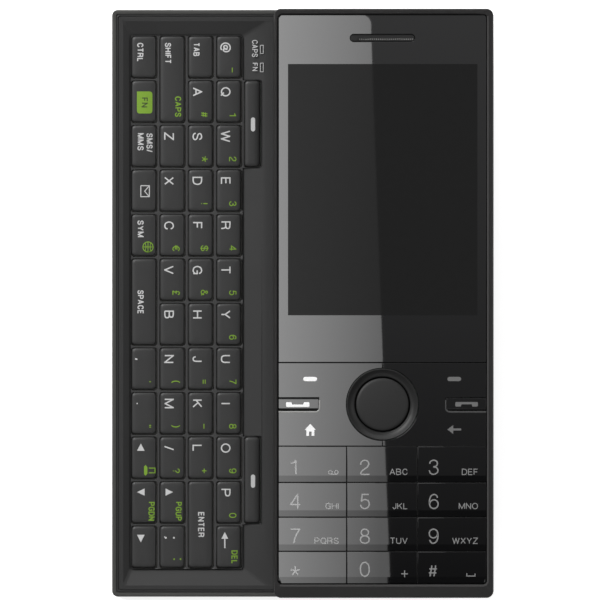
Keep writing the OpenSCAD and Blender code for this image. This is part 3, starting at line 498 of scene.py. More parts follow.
for row, nodeName in enumerate(rowNames):
    placeKey(nodeName.replace("_", "") + "Caps", nodeName, keySize["across"], keySize["along"],
             [(rowX(row), colY(col)) for col in rowSingles[row]])
for nodeName in wideKeys:
    low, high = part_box(nodeName)
    placeKey(nodeName.replace("_", "") + "Cap", nodeName, high.x - low.x, high.y - low.y,
             [((low.x + high.x) / 2, (low.y + high.y) / 2)])
print("letter keys made")

# flat cable: a merged copy of the node, cut across into short strips; it is not attached to either half
cable = {"cut": 0.6, "cutWithin": 0.0001, "startInset": 0.5, "endInset": 4.4}
cableLow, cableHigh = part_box("flex_cable")
bm = mergedCopy("flex_cable")
for i in range(1, int((cableHigh.x - cableLow.x) / (cable["cut"] * mm))):
    bmesh.ops.bisect_plane(bm, geom=bm.verts[:] + bm.edges[:] + bm.faces[:], dist=cable["cutWithin"] * mm,
                           plane_co=(cableLow.x + i * cable["cut"] * mm, 0, 0), plane_no=(1, 0, 0))
ribbon = newObject("flexRibbon", finishedMesh(bm, "flexRibbon", "polyimideFilm"))
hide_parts("flex_cable")
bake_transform(ribbon)

# display half
slab = {"rounding": 0.12, "panelRounding": 0.07}
softened("bezelShell", "slab_frame", "display_half", slab["rounding"], "bezelPlastic", segments=3)
softened("frontGlass", "display_glass", "display_half", slab["panelRounding"], "sheetGlass")
padKeys = ["number_key_%d" % i for i in range(1, 10)] + ["star_key", "number_key_0", "hash_key"]
panelNodes = padKeys + ["left_rocker", "right_rocker", "call_key", "end_key"]
for nodeName in panelNodes:
    softened(nodeName.replace("_", "") + "Cap", nodeName, nodeName, slab["panelRounding"],
             "panelPlastic")


def lathe(name, nodeName, finish, profile, steps=96):
    # profile: radius and height in mm, heights from the upper side of the navigation ring
    low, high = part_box(nodeName)
    cx, cy, top = (low.x + high.x) / 2, (low.y + high.y) / 2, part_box("nav_ring")[1].z
    bm = bmesh.new()
    rings = []
    for radius, height in profile:
        z = top + height * mm
        if radius == 0:
            rings.append([bm.verts.new((cx, cy, z))] * steps)
        else:
            turns = [math.tau * i / steps for i in range(steps)]
            rings.append([bm.verts.new((cx + radius * mm * math.cos(turn),
                                        cy + radius * mm * math.sin(turn), z)) for turn in turns])
    closed = profile[0][0] > 0
    bridge(bm, rings + rings[:1] if closed else rings, ends=False)
    addPiece(name, finishedMesh(bm, name, finish, nav["sharpFrom"]), nodeName, nodeName)


# dished ring with a thin raised rim, and the crowned button in its middle
nav = {"ring": 7.05, "gap": 5.42, "gapSlope": 0.02, "gapDrop": 0.2, "slope": 1.2, "slopeSteps": 8, "dish": 0.78,
       "foot": -1.15, "button": 5.2, "buttonTop": -0.05, "crown": 0.32, "plunger": 1.6, "sharpFrom": 50,
       "rim": ((0, -0.1), (0.03, -0.04), (0.1, 0), (0.18, -0.02), (0.25, -0.09)),
       "crownAt": (0.2, 0.4, 0.6, 0.75, 0.87, 0.94), "buttonEdge": ((0.14, -0.42), (0.05, -0.5), (0, -0.64))}
rimInset, rimHeight = nav["rim"][-1]
slope = [i / nav["slopeSteps"] for i in range(1, nav["slopeSteps"] + 1)]
lathe("navRingShell", "nav_ring", "ringPlastic",
      [(nav["gap"], nav["foot"]), (nav["ring"], nav["foot"])]
      + [(nav["ring"] - inset, height) for inset, height in nav["rim"]]
      + [(nav["ring"] - rimInset - nav["slope"] * t,
          rimHeight - (nav["dish"] + rimHeight) * math.sin(math.pi / 2 * t)) for t in slope]
      + [(nav["gap"] + nav["gapSlope"], -nav["dish"] - nav["gapDrop"])])
plungerLow = (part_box("nav_button")[0].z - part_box("nav_ring")[1].z) / mm
lathe("navButtonShell", "nav_button", "buttonPlastic",
      [(0, nav["buttonTop"])]
      + [(nav["button"] * r, nav["buttonTop"] - nav["crown"] * r ** 2) for r in nav["crownAt"]]
      + [(nav["button"] - inset, height) for inset, height in nav["buttonEdge"]]
      + [(nav["button"], nav["foot"]), (nav["plunger"], nav["foot"]), (nav["plunger"], plungerLow),
         (0, plungerLow)])
print("display half made")

# visible screen: a film over the display, under which the panel is unlit
screen = {"u0": 288, "u1": 477.4, "v0": 64, "v1": 315.3, "thick": 0.015, "corner": 0.05}
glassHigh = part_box("display_glass")[1]


def addPlate(name, finish, x0, x1, y0, y1, z0, thick, corner, steps=3):
    bm = bmesh.new()
    rings = []
    for z in (z0, z0 + thick):
        rings.append([bm.verts.new(((x0 + x1) / 2 + x, (y0 + y1) / 2 + y, z))
                      for x, y in outline(x1 - x0, y1 - y0, corner, steps)])
    bridge(bm, rings)
    addPiece(name, finishedMesh(bm, name, finish), "display_half")


addPlate("screenWindow", "screenFilm", across(screen["u0"]), across(screen["u1"]),
         along(screen["v1"]), along(screen["v0"]), glassHigh.z, screen["thick"] * mm, screen["corner"] * mm)

# earpiece: woven wire in the slot, one knuckle at each crossing
def weaveTree():
    tree, given = newTree("wireKnuckles", {
        "Width": "Float", "Length": "Float", "Columns": "Int", "Rows": "Int", "Knuckle radius": "Float",
        "Wire": "Material", "Place": "Vector"}, "Weave")
    grid = addNode(tree, "GeometryNodeMeshGrid", None,
                   {"Size X": given["Width"], "Size Y": given["Length"],
                    "Vertices X": given["Columns"], "Vertices Y": given["Rows"]})
    knuckle = addNode(tree, "GeometryNodeMeshIcoSphere", {"Subdivisions": 1},
                      {"Radius": given["Knuckle radius"]})
    placed = addNode(tree, "GeometryNodeInstanceOnPoints", {"Scale": (1.0, 1.0, 0.6)},
                     {"Points": grid.outputs["Mesh"], "Instance": knuckle.outputs["Mesh"]})
    real = addNode(tree, "GeometryNodeRealizeInstances", None, {"Geometry": placed.outputs["Instances"]})
    moved = addNode(tree, "GeometryNodeTransform", None,
                    {"Geometry": real.outputs["Geometry"], "Translation": given["Place"]})
    painted = addNode(tree, "GeometryNodeSetMaterial", None,
                      {"Geometry": moved.outputs["Geometry"], "Material": given["Wire"]})
    addNode(tree, "NodeGroupOutput", None, {"Weave": painted.outputs["Geometry"]})
    return tree


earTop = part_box("earpiece")[1].z
slot = {"u0": 349.2, "u1": 414.1, "v0": 34, "v1": 41.8, "sensor": 9, "pitch": 0.4, "knuckle": 0.15,
        "weaveInset": 1.5, "weaveFrom": 4, "margin": 1.2,
        "sensorInset": 1, "sensorThick": 0.3, "sensorCorner": 0.45}
weaveX0 = across(slot["u0"] + slot["sensor"] + slot["weaveInset"])
weaveX1 = across(slot["u1"] - slot["weaveInset"])
weaveY0, weaveY1 = along(slot["v1"] - slot["margin"]), along(slot["v0"] + slot["weaveFrom"])
obj = newObject("weaveMaker", bpy.data.meshes.new("weaveMaker"))
modifier = obj.modifiers.new("weave", "NODES")
modifier.node_group = weaveTree()
for inputName, value in {
    "Width": weaveX1 - weaveX0, "Length": weaveY1 - weaveY0,
    "Columns": round((weaveX1 - weaveX0) / (slot["pitch"] * mm)),
    "Rows": round((weaveY1 - weaveY0) / (slot["pitch"] * mm)),
    "Knuckle radius": slot["knuckle"] * mm, "Wire": finishes["wireCloth"],
    "Place": ((weaveX0 + weaveX1) / 2, (weaveY0 + weaveY1) / 2, earTop),
}.items():
    setInput(modifier, inputName, value)
addPiece("earpieceWeave", plainMesh(obj, "earpieceWeave"), "display_half")
addPlate("lightSensorWindow", "blackModule", across(slot["u0"] + slot["sensorInset"]),
         across(slot["u0"] + slot["sensor"]), weaveY0, along(slot["v0"] + slot["margin"]), earTop,
         slot["sensorThick"] * mm, slot["sensorCorner"] * mm)
print("screen and earpiece made")

# printing
ink = {}
printing = {"lift": 0.03, "thick": 0.06, "step": 0.001, "span": 2.5, "runOn": 0.4,
            "cornerLayer": 0.5, "letterLayer": 2, "longestCornered": 6}


def surfaceUnder(body, x):
    # height of what carries the ink at x
    low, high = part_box(body)
    if body not in rowNames + wideKeys:
        return high.z
    middle = (low.x + high.x) / 2 - cap["shift"] * mm
    return keyTop + capSurface(x - middle, (high.x - low.x) / 2)


def addInk(body, colour, verts, faces, top=None, layer=0):
    # ink stands a hair above its surface and reaches into it; layer keeps crossing strokes apart
    bm = ink.setdefault((body, colour), bmesh.new())
    made = []
    thick = printing["thick"] * mm
    for x, y in verts:
        z = (surfaceUnder(body, x) if top is None else top) + (printing["lift"] + layer * printing["step"]) * mm
        made.append((bm.verts.new((x, y, z)), bm.verts.new((x, y, z - thick))))
    sides = set()
    for face in faces:
        area = sum(verts[a][0] * verts[b][1] - verts[b][0] * verts[a][1]
                   for a, b in zip(face, list(face[1:]) + [face[0]]))
        ring = list(face) if area > 0 else list(face)[::-1]
        bm.faces.new([made[i][0] for i in ring])
        bm.faces.new([made[i][1] for i in reversed(ring)])
        sides.update(zip(ring, ring[1:] + ring[:1]))
    for a, b in sides:
        if (b, a) not in sides:
            bm.faces.new((made[a][1], made[b][1], made[b][0], made[a][0]))


def addShape(body, colour, points, top=None, layer=0):
    # a filled outline in pixels
    addInk(body, colour, [(across(u), along(v)) for u, v in points], [list(range(len(points)))], top, layer)


def addStroke(body, colour, points, width, closed=False, top=None, layer=0):
    # a ribbon along pixel points, cut short enough to follow a crowned cap
    if not closed:
        cuts = []
        for a, b in zip(points, points[1:]):
            parts = max(1, math.ceil(math.hypot(b[0] - a[0], b[1] - a[1]) / printing["span"]))
            cuts += [(a[0] + (b[0] - a[0]) * i / parts, a[1] + (b[1] - a[1]) * i / parts) for i in range(parts)]
        points = cuts + [points[-1]]
    count = len(points)
    left, right = [], []
    for i, (u, v) in enumerate(points):
        before = points[(i - 1) % count] if closed or i > 0 else points[i]
        after = points[(i + 1) % count] if closed or i < count - 1 else points[i]
        du, dv = after[0] - before[0], after[1] - before[1]
        size = math.hypot(du, dv)
        nu, nv = -dv / size * width / 2, du / size * width / 2
        left.append((u + nu, v + nv))
        right.append((u - nu, v - nv))
    faces = []
    for i in range(count if closed else count - 1):
        j = (i + 1) % count
        faces.append([i, j, count + j, count + i])
    addInk(body, colour, [(across(u), along(v)) for u, v in left + right], faces, top, layer)


def addCornered(body, colour, points, width, top=None, layer=0):
    # straight strokes, each run on into the corner that it shares with the next
    for n, (a, b) in enumerate(zip(points, points[1:])):
        size = math.hypot(b[0] - a[0], b[1] - a[1])
        du, dv = ((b[k] - a[k]) / size * width * printing["runOn"] for k in (0, 1))
        start = (a[0] - du, a[1] - dv) if n > 0 else a
        end = (b[0] + du, b[1] + dv) if n < len(points) - 2 else b
        addStroke(body, colour, [start, end], width, top=top, layer=layer + n * printing["cornerLayer"])


# plain lettering as centre lines, capitals 10 high; ~ is a curve, o a closed curve
alphabet = {
    "A": ("0,0 4.4,10 8.8,0", "1.5,3.4 7.3,3.4"),
    "B": ("0,0 0,10 4.2,10", "~4.2,10 6.6,9.2 7,7.7 6.5,6.1 4.2,5.3", "0,5.3 4.2,5.3",
          "~4.2,5.3 7,4.6 7.8,2.7 7,0.8 4.2,0", "0,0 4.2,0"),
    "C": ("~8.4,7 7.2,9.2 4.7,10 1.7,8.7 0.3,5 1.7,1.3 4.7,0 7.4,0.9 8.6,3.3",),
    "D": ("3.6,0 0,0 0,10 3.6,10", "~3.6,10 6.8,8.9 8.2,5 6.8,1.1 3.6,0"),
    "E": ("7,0 0,0 0,10 6.8,10", "0,5.2 6.3,5.2"),
    "F": ("0,0 0,10 6.6,10", "0,5 5.8,5"),
    "G": ("~8.6,7 7.3,9.2 4.8,10 1.7,8.7 0.3,5 1.7,1.3 4.8,0 7.3,0.9 8.7,2.6", "8.7,0.2 8.7,4.8 5,4.8"),
    "H": ("0,0 0,10", "8,0 8,10", "0,5.2 8,5.2"),
    "I": ("0,0 0,10",),
    "J": ("5.4,10 5.4,3", "~5.4,3 4.7,0.8 2.7,0 0.8,0.8 0.1,3"),
    "K": ("0,0 0,10", "7.8,10 0,3.4", "2.9,5.9 8,0"),
    "L": ("0,10 0,0 6.4,0",),
    "M": ("0,0 0,10 4.9,0.4 9.8,10 9.8,0",),
    "N": ("0,0 0,10 8,0 8,10",),
    "O": ("o4.8,10 1.5,8.6 0,5 1.5,1.4 4.8,0 8.1,1.4 9.6,5 8.1,8.6",),
    "P": ("0,0 0,10 4.4,10", "~4.4,10 6.9,9.2 7.6,7.3 6.9,5.4 4.4,4.6", "4.4,4.6 0,4.6"),
    "Q": ("o4.8,10 1.5,8.6 0,5 1.5,1.4 4.8,0 8.1,1.4 9.6,5 8.1,8.6", "5.6,2.8 9.2,-0.5"),
    "R": ("0,0 0,10 4.6,10", "~4.6,10 7.2,9.2 7.8,7.5 7.1,5.8 4.6,5", "4.6,5 0,5",
          "~4.6,5 6.7,4.4 7.4,2.6 7.6,0.8 8.2,0"),
    "S": ("~7.6,7.2 6.6,9.2 4.2,10 1.5,9.2 0.7,7.4 1.9,5.8 4.3,5.1 6.8,4.2 7.8,2.5 6.8,0.7 4.1,0 1.3,0.8 "
          "0.2,3",),
    "T": ("0,10 8,10", "4,10 4,0"),
    "U": ("0,10 0,3.4", "~0,3.4 1.1,0.9 4,0 6.9,0.9 8,3.4", "8,3.4 8,10"),
    "V": ("0,10 4.2,0 8.4,10",),
    "W": ("0,10 3,0 6,9.6 9,0 12,10",),
    "X": ("0.2,10 8,0", "8,10 0,0"),
    "Y": ("0,10 4.1,4.4 8.2,10", "4.1,4.4 4.1,0"),
    "Z": ("0.3,10 7.8,10 0,0 8,0",),
    "0": ("o3.3,10 0.9,8.4 0.2,5 0.9,1.6 3.3,0 5.7,1.6 6.4,5 5.7,8.4",),
    "1": ("~0,7.9 1.8,8.2 2.9,8.9 3.4,10", "3.7,10 3.7,0"),
    "2": ("~0.3,6.9 0.6,8.3 1.5,9.4 3.3,10 5.2,9.4 6.1,7.8 5.9,6.4 4.9,5.1 3.2,3.8 1.5,2.5 0.6,1.2 0.4,0",
          "0.4,0 6.6,0"),
    "3": ("~0.5,7.5 1.2,9.2 3.2,10 5.3,9.4 6,7.7 5.2,6 3,5.3",
          "~3,5.3 5.4,4.7 6.4,2.8 5.5,0.9 3.2,0 1.1,0.8 0.2,2.8"),
    "4": ("5,0 5,10 0,2.9 6.9,2.9",),
    "5": ("6.1,10 1.5,10 0.8,5.1", "~0.8,5.1 1.9,6 3.4,6.4 5.5,5.7 6.5,3.3 5.6,1 3.3,0 1.2,0.8 0.2,2.6"),
    "6": ("~6.1,7.6 5.3,9.3 3.6,10 1.6,9 0.6,6.9 0.3,4.5 0.6,2.2 1.6,0.7 3.5,0 5.6,0.9 6.5,3.1 5.7,5.3 "
          "3.6,6.2 1.5,5.4 0.6,3.6",),
    "7": ("0.1,10 6.6,10", "~6.6,10 4.6,7 3.1,3.8 2.3,0"),
    "8": ("o3.3,10 1.4,9.3 0.7,7.6 1.4,6 3.3,5.3 5.2,6 5.9,7.6 5.2,9.3",
          "o3.3,5.3 1,4.5 0.2,2.7 1,0.8 3.3,0 5.6,0.8 6.4,2.7 5.6,4.5"),
    "9": ("~0.6,2.4 1.4,0.7 3.1,0 5.1,1 6.1,3.1 6.4,5.5 6.1,7.8 5.1,9.3 3.2,10 1.1,9.1 0.2,6.9 1,4.7 "
          "3.1,3.8 5.2,4.6 6.1,6.4",),
    "@": ("~8.4,0.2 5.6,-0.8 2,0.6 0.2,4.4 1.6,8.6 5.6,10.4 9.4,8.8 10.4,5.4 9.3,2.6 7.8,2.2 7.2,3.4 7.8,7",
          "o5.2,7 3.6,6.2 3.1,4.4 4.1,2.8 5.6,3 6.9,4.4 6.9,6.2"),
    "-": ("0,4.2 7.4,4.2",), "=": ("0,3 6.4,3", "0,6.2 6.4,6.2"), "+": ("0,4.6 7,4.6", "3.5,1.1 3.5,8.1"),
    "'": ("0,10 0,7",), '"': ("0,10 0,7", "2.6,10 2.6,7"), ",": ("0.9,1 0.2,-1.8",), ".": ("0,0 0,1.2",),
    "/": ("0,-0.4 3.8,10.4",), "!": ("0,10 0,3.2", "0,0 0,1.2"),
    "?": ("~0,7.4 0.8,9.3 3,10 5.2,9.2 5.8,7.6 4.8,5.9 3.4,4.6 3,2.7", "3,0 3,1.2"),
    "(": ("~2.4,10.8 0.8,8 0.2,4.2 0.8,0.6 2.4,-2.2",), ")": ("~0,10.8 1.6,8 2.2,4.2 1.6,0.6 0,-2.2",),
    "#": ("2.6,9.6 1,0", "6,9.6 4.4,0", "0.4,6.6 7,6.6", "0,3.1 6.6,3.1"),
    "*": ("4.4,9.9 4.4,5.2", "0,6.7 4.4,5.2", "8.8,6.7 4.4,5.2", "1.7,1.4 4.4,5.2", "7.1,1.4 4.4,5.2"),
    "$": ("~7.6,7.2 6.6,9.2 4.2,10 1.5,9.2 0.7,7.4 1.9,5.8 4.3,5.1 6.8,4.2 7.8,2.5 6.8,0.7 4.1,0 1.3,0.8 0.2,3",
          "4.1,11.3 4.1,-1.3"),
    "&": ("~8.2,0 2.3,6.8 1.8,8.5 3.4,10 5,8.4 4,6.5 1.4,4.6 0.4,2.4 1.4,0.5 3.6,-0.1 5.8,1 7.4,4.4",),
    "€": ("~8.4,8 6.6,9.8 4.4,9.8 2.4,8 1.8,5 2.4,2 4.4,0.2 6.6,0.2 8.4,2", "0,6.2 6.6,6.2", "0,3.9 6.2,3.9"),
    "£": ("~6.6,8 5.5,9.6 3.8,10 2.1,9 1.9,7 2.5,4.8 2.2,2 0.5,0", "0.5,0 6.8,0", "0.3,5 5.2,5"),
}


def curved(points, closed, steps=4):
    out = []
    count = len(points)
    for i in range(count if closed else count - 1):
        p = [points[(i + k) % count if closed else min(max(i + k, 0), count - 1)] for k in (-1, 0, 1, 2)]
        for n in range(steps):
            t = n / steps
            out.append(tuple(0.5 * (2 * b + (c - a) * t + (2 * a - 5 * b + 4 * c - d) * t ** 2
                                    + (3 * b - a - 3 * c + d) * t ** 3) for a, b, c, d in zip(*p)))
    return out if closed else out + [points[-1]]


def centreLines(letter):
    lines = []
    for line in alphabet[letter]:
        points = [tuple(float(n) for n in pair.split(",")) for pair in line.strip("~o").split()]
        if line[0] in "~o":
            points = curved(points, line[0] == "o")
        lines.append((points, line[0] == "o"))
    return lines


def addWords(body, colour, words, u, v, height, turned=True, anchor="start", width=None, stroke=1.1,
             space=2.4, top=None, layer=0):
    # words whose baseline starts at the pixel u, v; height of a capital, width and stroke in pixels
    grow = (height - stroke) / 10
    lines, x = [], 0
    for letter in words:
        drawn = centreLines(letter)
        lines += [([(x + px, py) for px, py in points], closed) for points, closed in drawn]
        x += max(px for points, closed in drawn for px, py in points) + space + stroke / grow
    total = max(px for points, closed in lines for px, py in points)
    wide = (width - stroke) / total if width else grow
    start = {"start": stroke / 2, "middle": -total * wide / 2, "end": -total * wide - stroke / 2}[anchor]
    for n, (points, closed) in enumerate(lines):
        placed = [(start + px * wide, stroke / 2 + py * grow) for px, py in points]
        if turned:
            placed = [(u + b, v + a) for a, b in placed]
        else:
            placed = [(u + a, v - b) for a, b in placed]
        over = layer + n * printing["letterLayer"]
        if closed or len(placed) > printing["longestCornered"]:
            addStroke(body, colour, placed, stroke, closed, top, over)
        else:
            addCornered(body, colour, placed, stroke, top, over)


def circlePoints(u, v, r, steps=16, start=0, end=360):
    parts = steps if end - start >= 360 else steps - 1
    turns = [math.radians(start + (end - start) * i / parts) for i in range(steps)]
    return [(u + r * math.cos(turn), v + r * math.sin(turn)) for turn in turns]


def roundedBox(u0, u1, v0, v1, r):
    return [((u0 + u1) / 2 + x, (v0 + v1) / 2 + y) for x, y in outline(u1 - u0, v1 - v0, r, 4)]


def addPatch(body, colour, u0, u1, v0, v1, corners, strips=12):
    # a rounded patch in strips, so that it follows a crowned cap; corners: radii upper left, upper right, ...
    def inset(u, leftRadius, rightRadius):
        for edge, radius in ((u - u0, leftRadius), (u1 - u, rightRadius)):
            if edge < radius:
                return radius - math.sqrt(max(radius ** 2 - (radius - edge) ** 2, 0))
        return 0
    places = [u0 + (u1 - u0) * (1 - math.cos(math.pi * i / strips)) / 2 for i in range(strips + 1)]
    upper = [(u, v0 + inset(u, corners[0], corners[1])) for u in places]
    lower = [(u, v1 - inset(u, corners[3], corners[2])) for u in places]
    count = strips + 1
    faces = [[i, i + 1, count + i + 1, count + i] for i in range(strips)]
    addInk(body, colour, [(across(u), along(v)) for u, v in upper + lower], faces)


# letter keyboard: pixel of each row's left side and of each column's upper side
legend = {"rowU": (131.6, 159.9, 188.3, 216.7), "colV": 36.0, "colPitch": 44.65,
          "letterHeight": 9.8, "wordHeight": 6.3, "signHeight": 7.4, "letterU": 3.9, "letterV": 10.6,
          "signU": 12.2, "signV": 33.4, "letterStroke": 1.3, "signStroke": 0.95}
letterRows = [
    (0, {7: (",", "'"), 8: (".", '"')}),
    (1, {2: ("Z", ""), 3: ("X", ""), 4: ("C", "€"), 5: ("V", "£"), 6: ("B", ""), 7: ("N", "("),
         8: ("M", ")"), 9: ("/", "?")}),
    (2, {1: ("A", "#"), 2: ("S", "*"), 3: ("D", "!"), 4: ("F", "$"), 5: ("G", "&"), 6: ("H", ""),
         7: ("J", "="), 8: ("K", "-"), 9: ("L", "+")}),
    (3, {0: ("@", "-"), 1: ("Q", "1"), 2: ("W", "2"), 3: ("E", "3"), 4: ("R", "4"), 5: ("T", "5"),
         6: ("Y", "6"), 7: ("U", "7"), 8: ("I", "8"), 9: ("O", "9"), 10: ("P", "0")}),
]
for row, labels in letterRows:
    for col, (letter, sign) in labels.items():
        u = legend["rowU"][row]
        v = legend["colV"] + col * legend["colPitch"]
        addWords(rowNames[row], "whiteInk", letter, u + legend["letterU"], v + legend["letterV"],
                 legend["letterHeight"], anchor="middle", stroke=legend["letterStroke"])
        if sign:
            addWords(rowNames[row], "greenInk", sign, u + legend["signU"], v + legend["signV"],
                     legend["signHeight"], anchor="middle", stroke=legend["signStroke"])
# node, ink, word, pixel of its baseline, and of its start and end
words = [
    ("key_row_a", "whiteInk", "CTRL", 136.7, 42, 61), ("shift_key", "whiteInk", "SHIFT", 164.5, 42, 63),
    ("key_row_c", "whiteInk", "TAB", 193, 42, 55.5), ("shift_key", "greenInk", "CAPS", 174.6, 95.7, 116.3),
    ("key_row_a", "whiteInk", "SMS/", 146, 132.7, 151.8), ("key_row_a", "whiteInk", "MMS", 137, 132.7, 150),
    ("key_row_a", "whiteInk", "SYM", 137, 220, 237), ("space_key", "whiteInk", "SPACE", 137, 290, 314),
    ("enter_key", "whiteInk", "ENTER", 197.8, 512.6, 537.8),
    ("key_row_a", "greenInk", "PGDN", 148, 502.4, 521.2),
    ("key_row_b", "greenInk", "PGUP", 175.2, 502.4, 521.2), ("key_row_d", "greenInk", "DEL", 231.2, 551, 564.5),
]
for body, colour, text, u, v0, v1 in words:
    addWords(body, colour, text, u, v0, legend["wordHeight"], width=v1 - v0)

# signs drawn one by one: arrows, envelope, globe, lamp, the green patch of the function key
addShape("key_row_a", "whiteInk", [(136.6, 451.2), (140.4, 443.8), (144.2, 451.2)])
addShape("key_row_a", "whiteInk", [(136.6, 492.6), (144.2, 489), (144.2, 496.2)])
addShape("key_row_b", "whiteInk", [(165.2, 489), (172.6, 492.6), (165.2, 496.2)])
addShape("key_row_a", "whiteInk", [(136.6, 535.4), (144.2, 535.4), (140.4, 543)])
addShape("key_row_d", "whiteInk", [(221.2, 539.4), (224.6, 532.6), (228, 539.4)])
addStroke("key_row_d", "whiteInk", [(224.6, 539), (224.6, 548.8)], 1.3)
addCornered("key_row_a", "whiteInk",
            [(140.4, 185.4), (149, 185.4), (149, 196.4), (140.4, 196.4), (140.4, 185.4)], 0.9)
addCornered("key_row_a", "whiteInk", [(149, 185.4), (144.2, 190.9), (149, 196.4)], 0.8, layer=3)
addStroke("key_row_a", "greenInk", circlePoints(147.6, 246.8, 5.1, 20), 0.9, closed=True)
addStroke("key_row_a", "greenInk", [(142.5, 246.8), (152.7, 246.8)], 0.8)
addStroke("key_row_a", "greenInk", [(147.6, 241.7), (147.6, 251.9)], 0.8)
addStroke("key_row_a", "greenInk", circlePoints(147.6, 246.8, 5.1, 20)[3:8], 0.7)
addStroke("key_row_a", "greenInk", [(144.9, 242.6), (145.6, 246.8), (144.9, 251)], 0.7)
addStroke("key_row_a", "greenInk", [(150.3, 242.6), (149.6, 246.8), (150.3, 251)], 0.7)
addCornered("key_row_a", "greenInk", [(148.4, 468.5), (154.6, 468.5), (154.6, 473.3), (148.4, 473.3)], 1.0)
addShape("key_row_a", "greenInk", [(143.6, 467), (145.2, 465.4), (147, 467.6), (147, 474.2), (145.2, 476.2),
                                   (143.6, 474.6)])
addPatch("key_row_a", "greenInk", 136.5, 152, 90.9, 113, (0.4, 2.6, 2.6, 2.6))
addWords("key_row_a", "darkInk", "FN", 141, 97, 6.4, width=9.9, stroke=1.05, layer=12)
for u, v in ((165.4, 538.4), (173.6, 538.4)):
    addShape("key_row_b", "whiteInk", circlePoints(u, v, 1.0, 8))
addStroke("key_row_b", "whiteInk", [(165.6, 538.6), (163.8, 537.2)], 0.9)
for u in (173.8, 180.2):
    addShape("key_row_b", "greenInk", circlePoints(u, 559.8, 0.9, 8))
for body, v0, v1 in (("soft_key_upper", 117, 131), ("soft_key_lower", 475, 488.3)):
    addShape(body, "whiteInk", roundedBox(250.8, 255, v0, v1, 2))

# labels of the two indicator lamps on the deck, beside their windows
deckTop = deckHigh.z
addWords("keyboard_deck", "whiteInk", "CAPS", 251.8, 39.2, 5.8, width=17.2, stroke=0.8, top=deckTop)
addWords("keyboard_deck", "whiteInk", "FN", 252.2, 62.2, 5.4, width=8.2, stroke=0.8, top=deckTop)
for v0, v1 in ((44.6, 52.9), (62.5, 71.2)):
    addCornered("keyboard_deck", "whiteInk", [(260.2, v0), (263.2, v0), (263.2, v1), (260.2, v1), (260.2, v0)],
                0.55, top=deckTop)
print("keyboard printed")

# number pad: left side of each digit's column, right side of its letters, baseline of each row
pad = {"digitU": (290, 359.5, 428.3), "lettersU": (338.6, 407.6, 478), "baseV": (475, 509.2, 543.9, 577),
       "digitHeight": 15.4, "signHeights": {"*": 11.7, "#": 12.6}, "letterHeight": 6.3,
       "digitStroke": 1.3, "letterStroke": 0.8, "letterSpace": 1.6}
padLabels = [("1", ""), ("2", "ABC"), ("3", "DEF"), ("4", "GHI"), ("5", "JKL"), ("6", "MNO"), ("7", "PQRS"),
             ("8", "TUV"), ("9", "WXYZ"), ("*", ""), ("0", ""), ("#", "")]
for i, (digit, letters) in enumerate(padLabels):
    row, col = divmod(i, 3)
    v = pad["baseV"][row]
    height = pad["signHeights"].get(digit, pad["digitHeight"])
    addWords(padKeys[i], "paleInk", digit, pad["digitU"][col], v, height, turned=False,
             stroke=pad["digitStroke"])
    if letters:
        addWords(padKeys[i], "paleInk", letters, pad["lettersU"][col], v, pad["letterHeight"], turned=False,
                 anchor="end", stroke=pad["letterStroke"], space=pad["letterSpace"])
for u in (330.4, 336.4):
    addStroke("number_key_1", "paleInk", circlePoints(u, 472.3, 1.9, 10), 0.8, closed=True)
addStroke("number_key_1", "paleInk", [(330.4, 474.3), (336.4, 474.3)], 0.8, layer=1)
addStroke("number_key_0", "paleInk", [(401.3, 573.8), (407.9, 573.8)], 1)
addStroke("number_key_0", "paleInk", [(404.6, 570.5), (404.6, 577.1)], 1, layer=1)
addCornered("hash_key", "paleInk", [(466.8, 573.4), (466.8, 576), (475, 576), (475, 573.4)], 0.9)

# navigation band
band = {"dashV": 379, "dashHeight": 4.3, "dashCorner": 2.1}
dashTop, dashFoot = band["dashV"] - band["dashHeight"] / 2, band["dashV"] + band["dashHeight"] / 2
for body, colour, u0, u1 in (("left_rocker", "brightInk", 303.2, 317.2),
                             ("right_rocker", "dimInk", 447.4, 461.1)):
    addShape(body, colour, roundedBox(u0, u1, dashTop, dashFoot, band["dashCorner"]))
addShape("left_rocker", "brightInk", [
    (310.3, 423.9), (315.8, 429.8), (314.3, 429.8), (314.3, 435.8), (311.7, 435.8), (311.7, 431.6),
    (309, 431.6), (309, 435.8), (306.3, 435.8), (306.3, 429.8), (304.8, 429.8)])
addShape("right_rocker", "dimInk", [
    (447.4, 429.5), (453.2, 425.1), (453.2, 428.5), (461.2, 428.5), (461.2, 430.5), (453.2, 430.5),
    (453.2, 433.9)])
# handset lying with its ends up, and with its ends down
addShape("call_key", "brightInk", [
    (286.6, 402.2), (291.4, 402.2), (292.2, 404.5), (303.2, 404.5), (304, 402.2), (308.8, 402.2),
    (309.4, 402.9), (309.4, 406.1), (308.7, 406.9), (286.7, 406.9), (286, 406.1), (286, 402.9)])
addShape("end_key", "dimInk", [
    (455.9, 402), (477.3, 402), (477.9, 402.8), (477.9, 405.8), (477.2, 406.6), (472.5, 406.6),
    (471.6, 404.3), (461.6, 404.3), (460.7, 406.6), (456, 406.6), (455.3, 405.8), (455.3, 402.8)])

# lips beside the call and end keys: sizes in mm
lip = {"width": 0.36, "height": 0.07, "sink": 0.02, "steps": 6, "sharpFrom": 60}


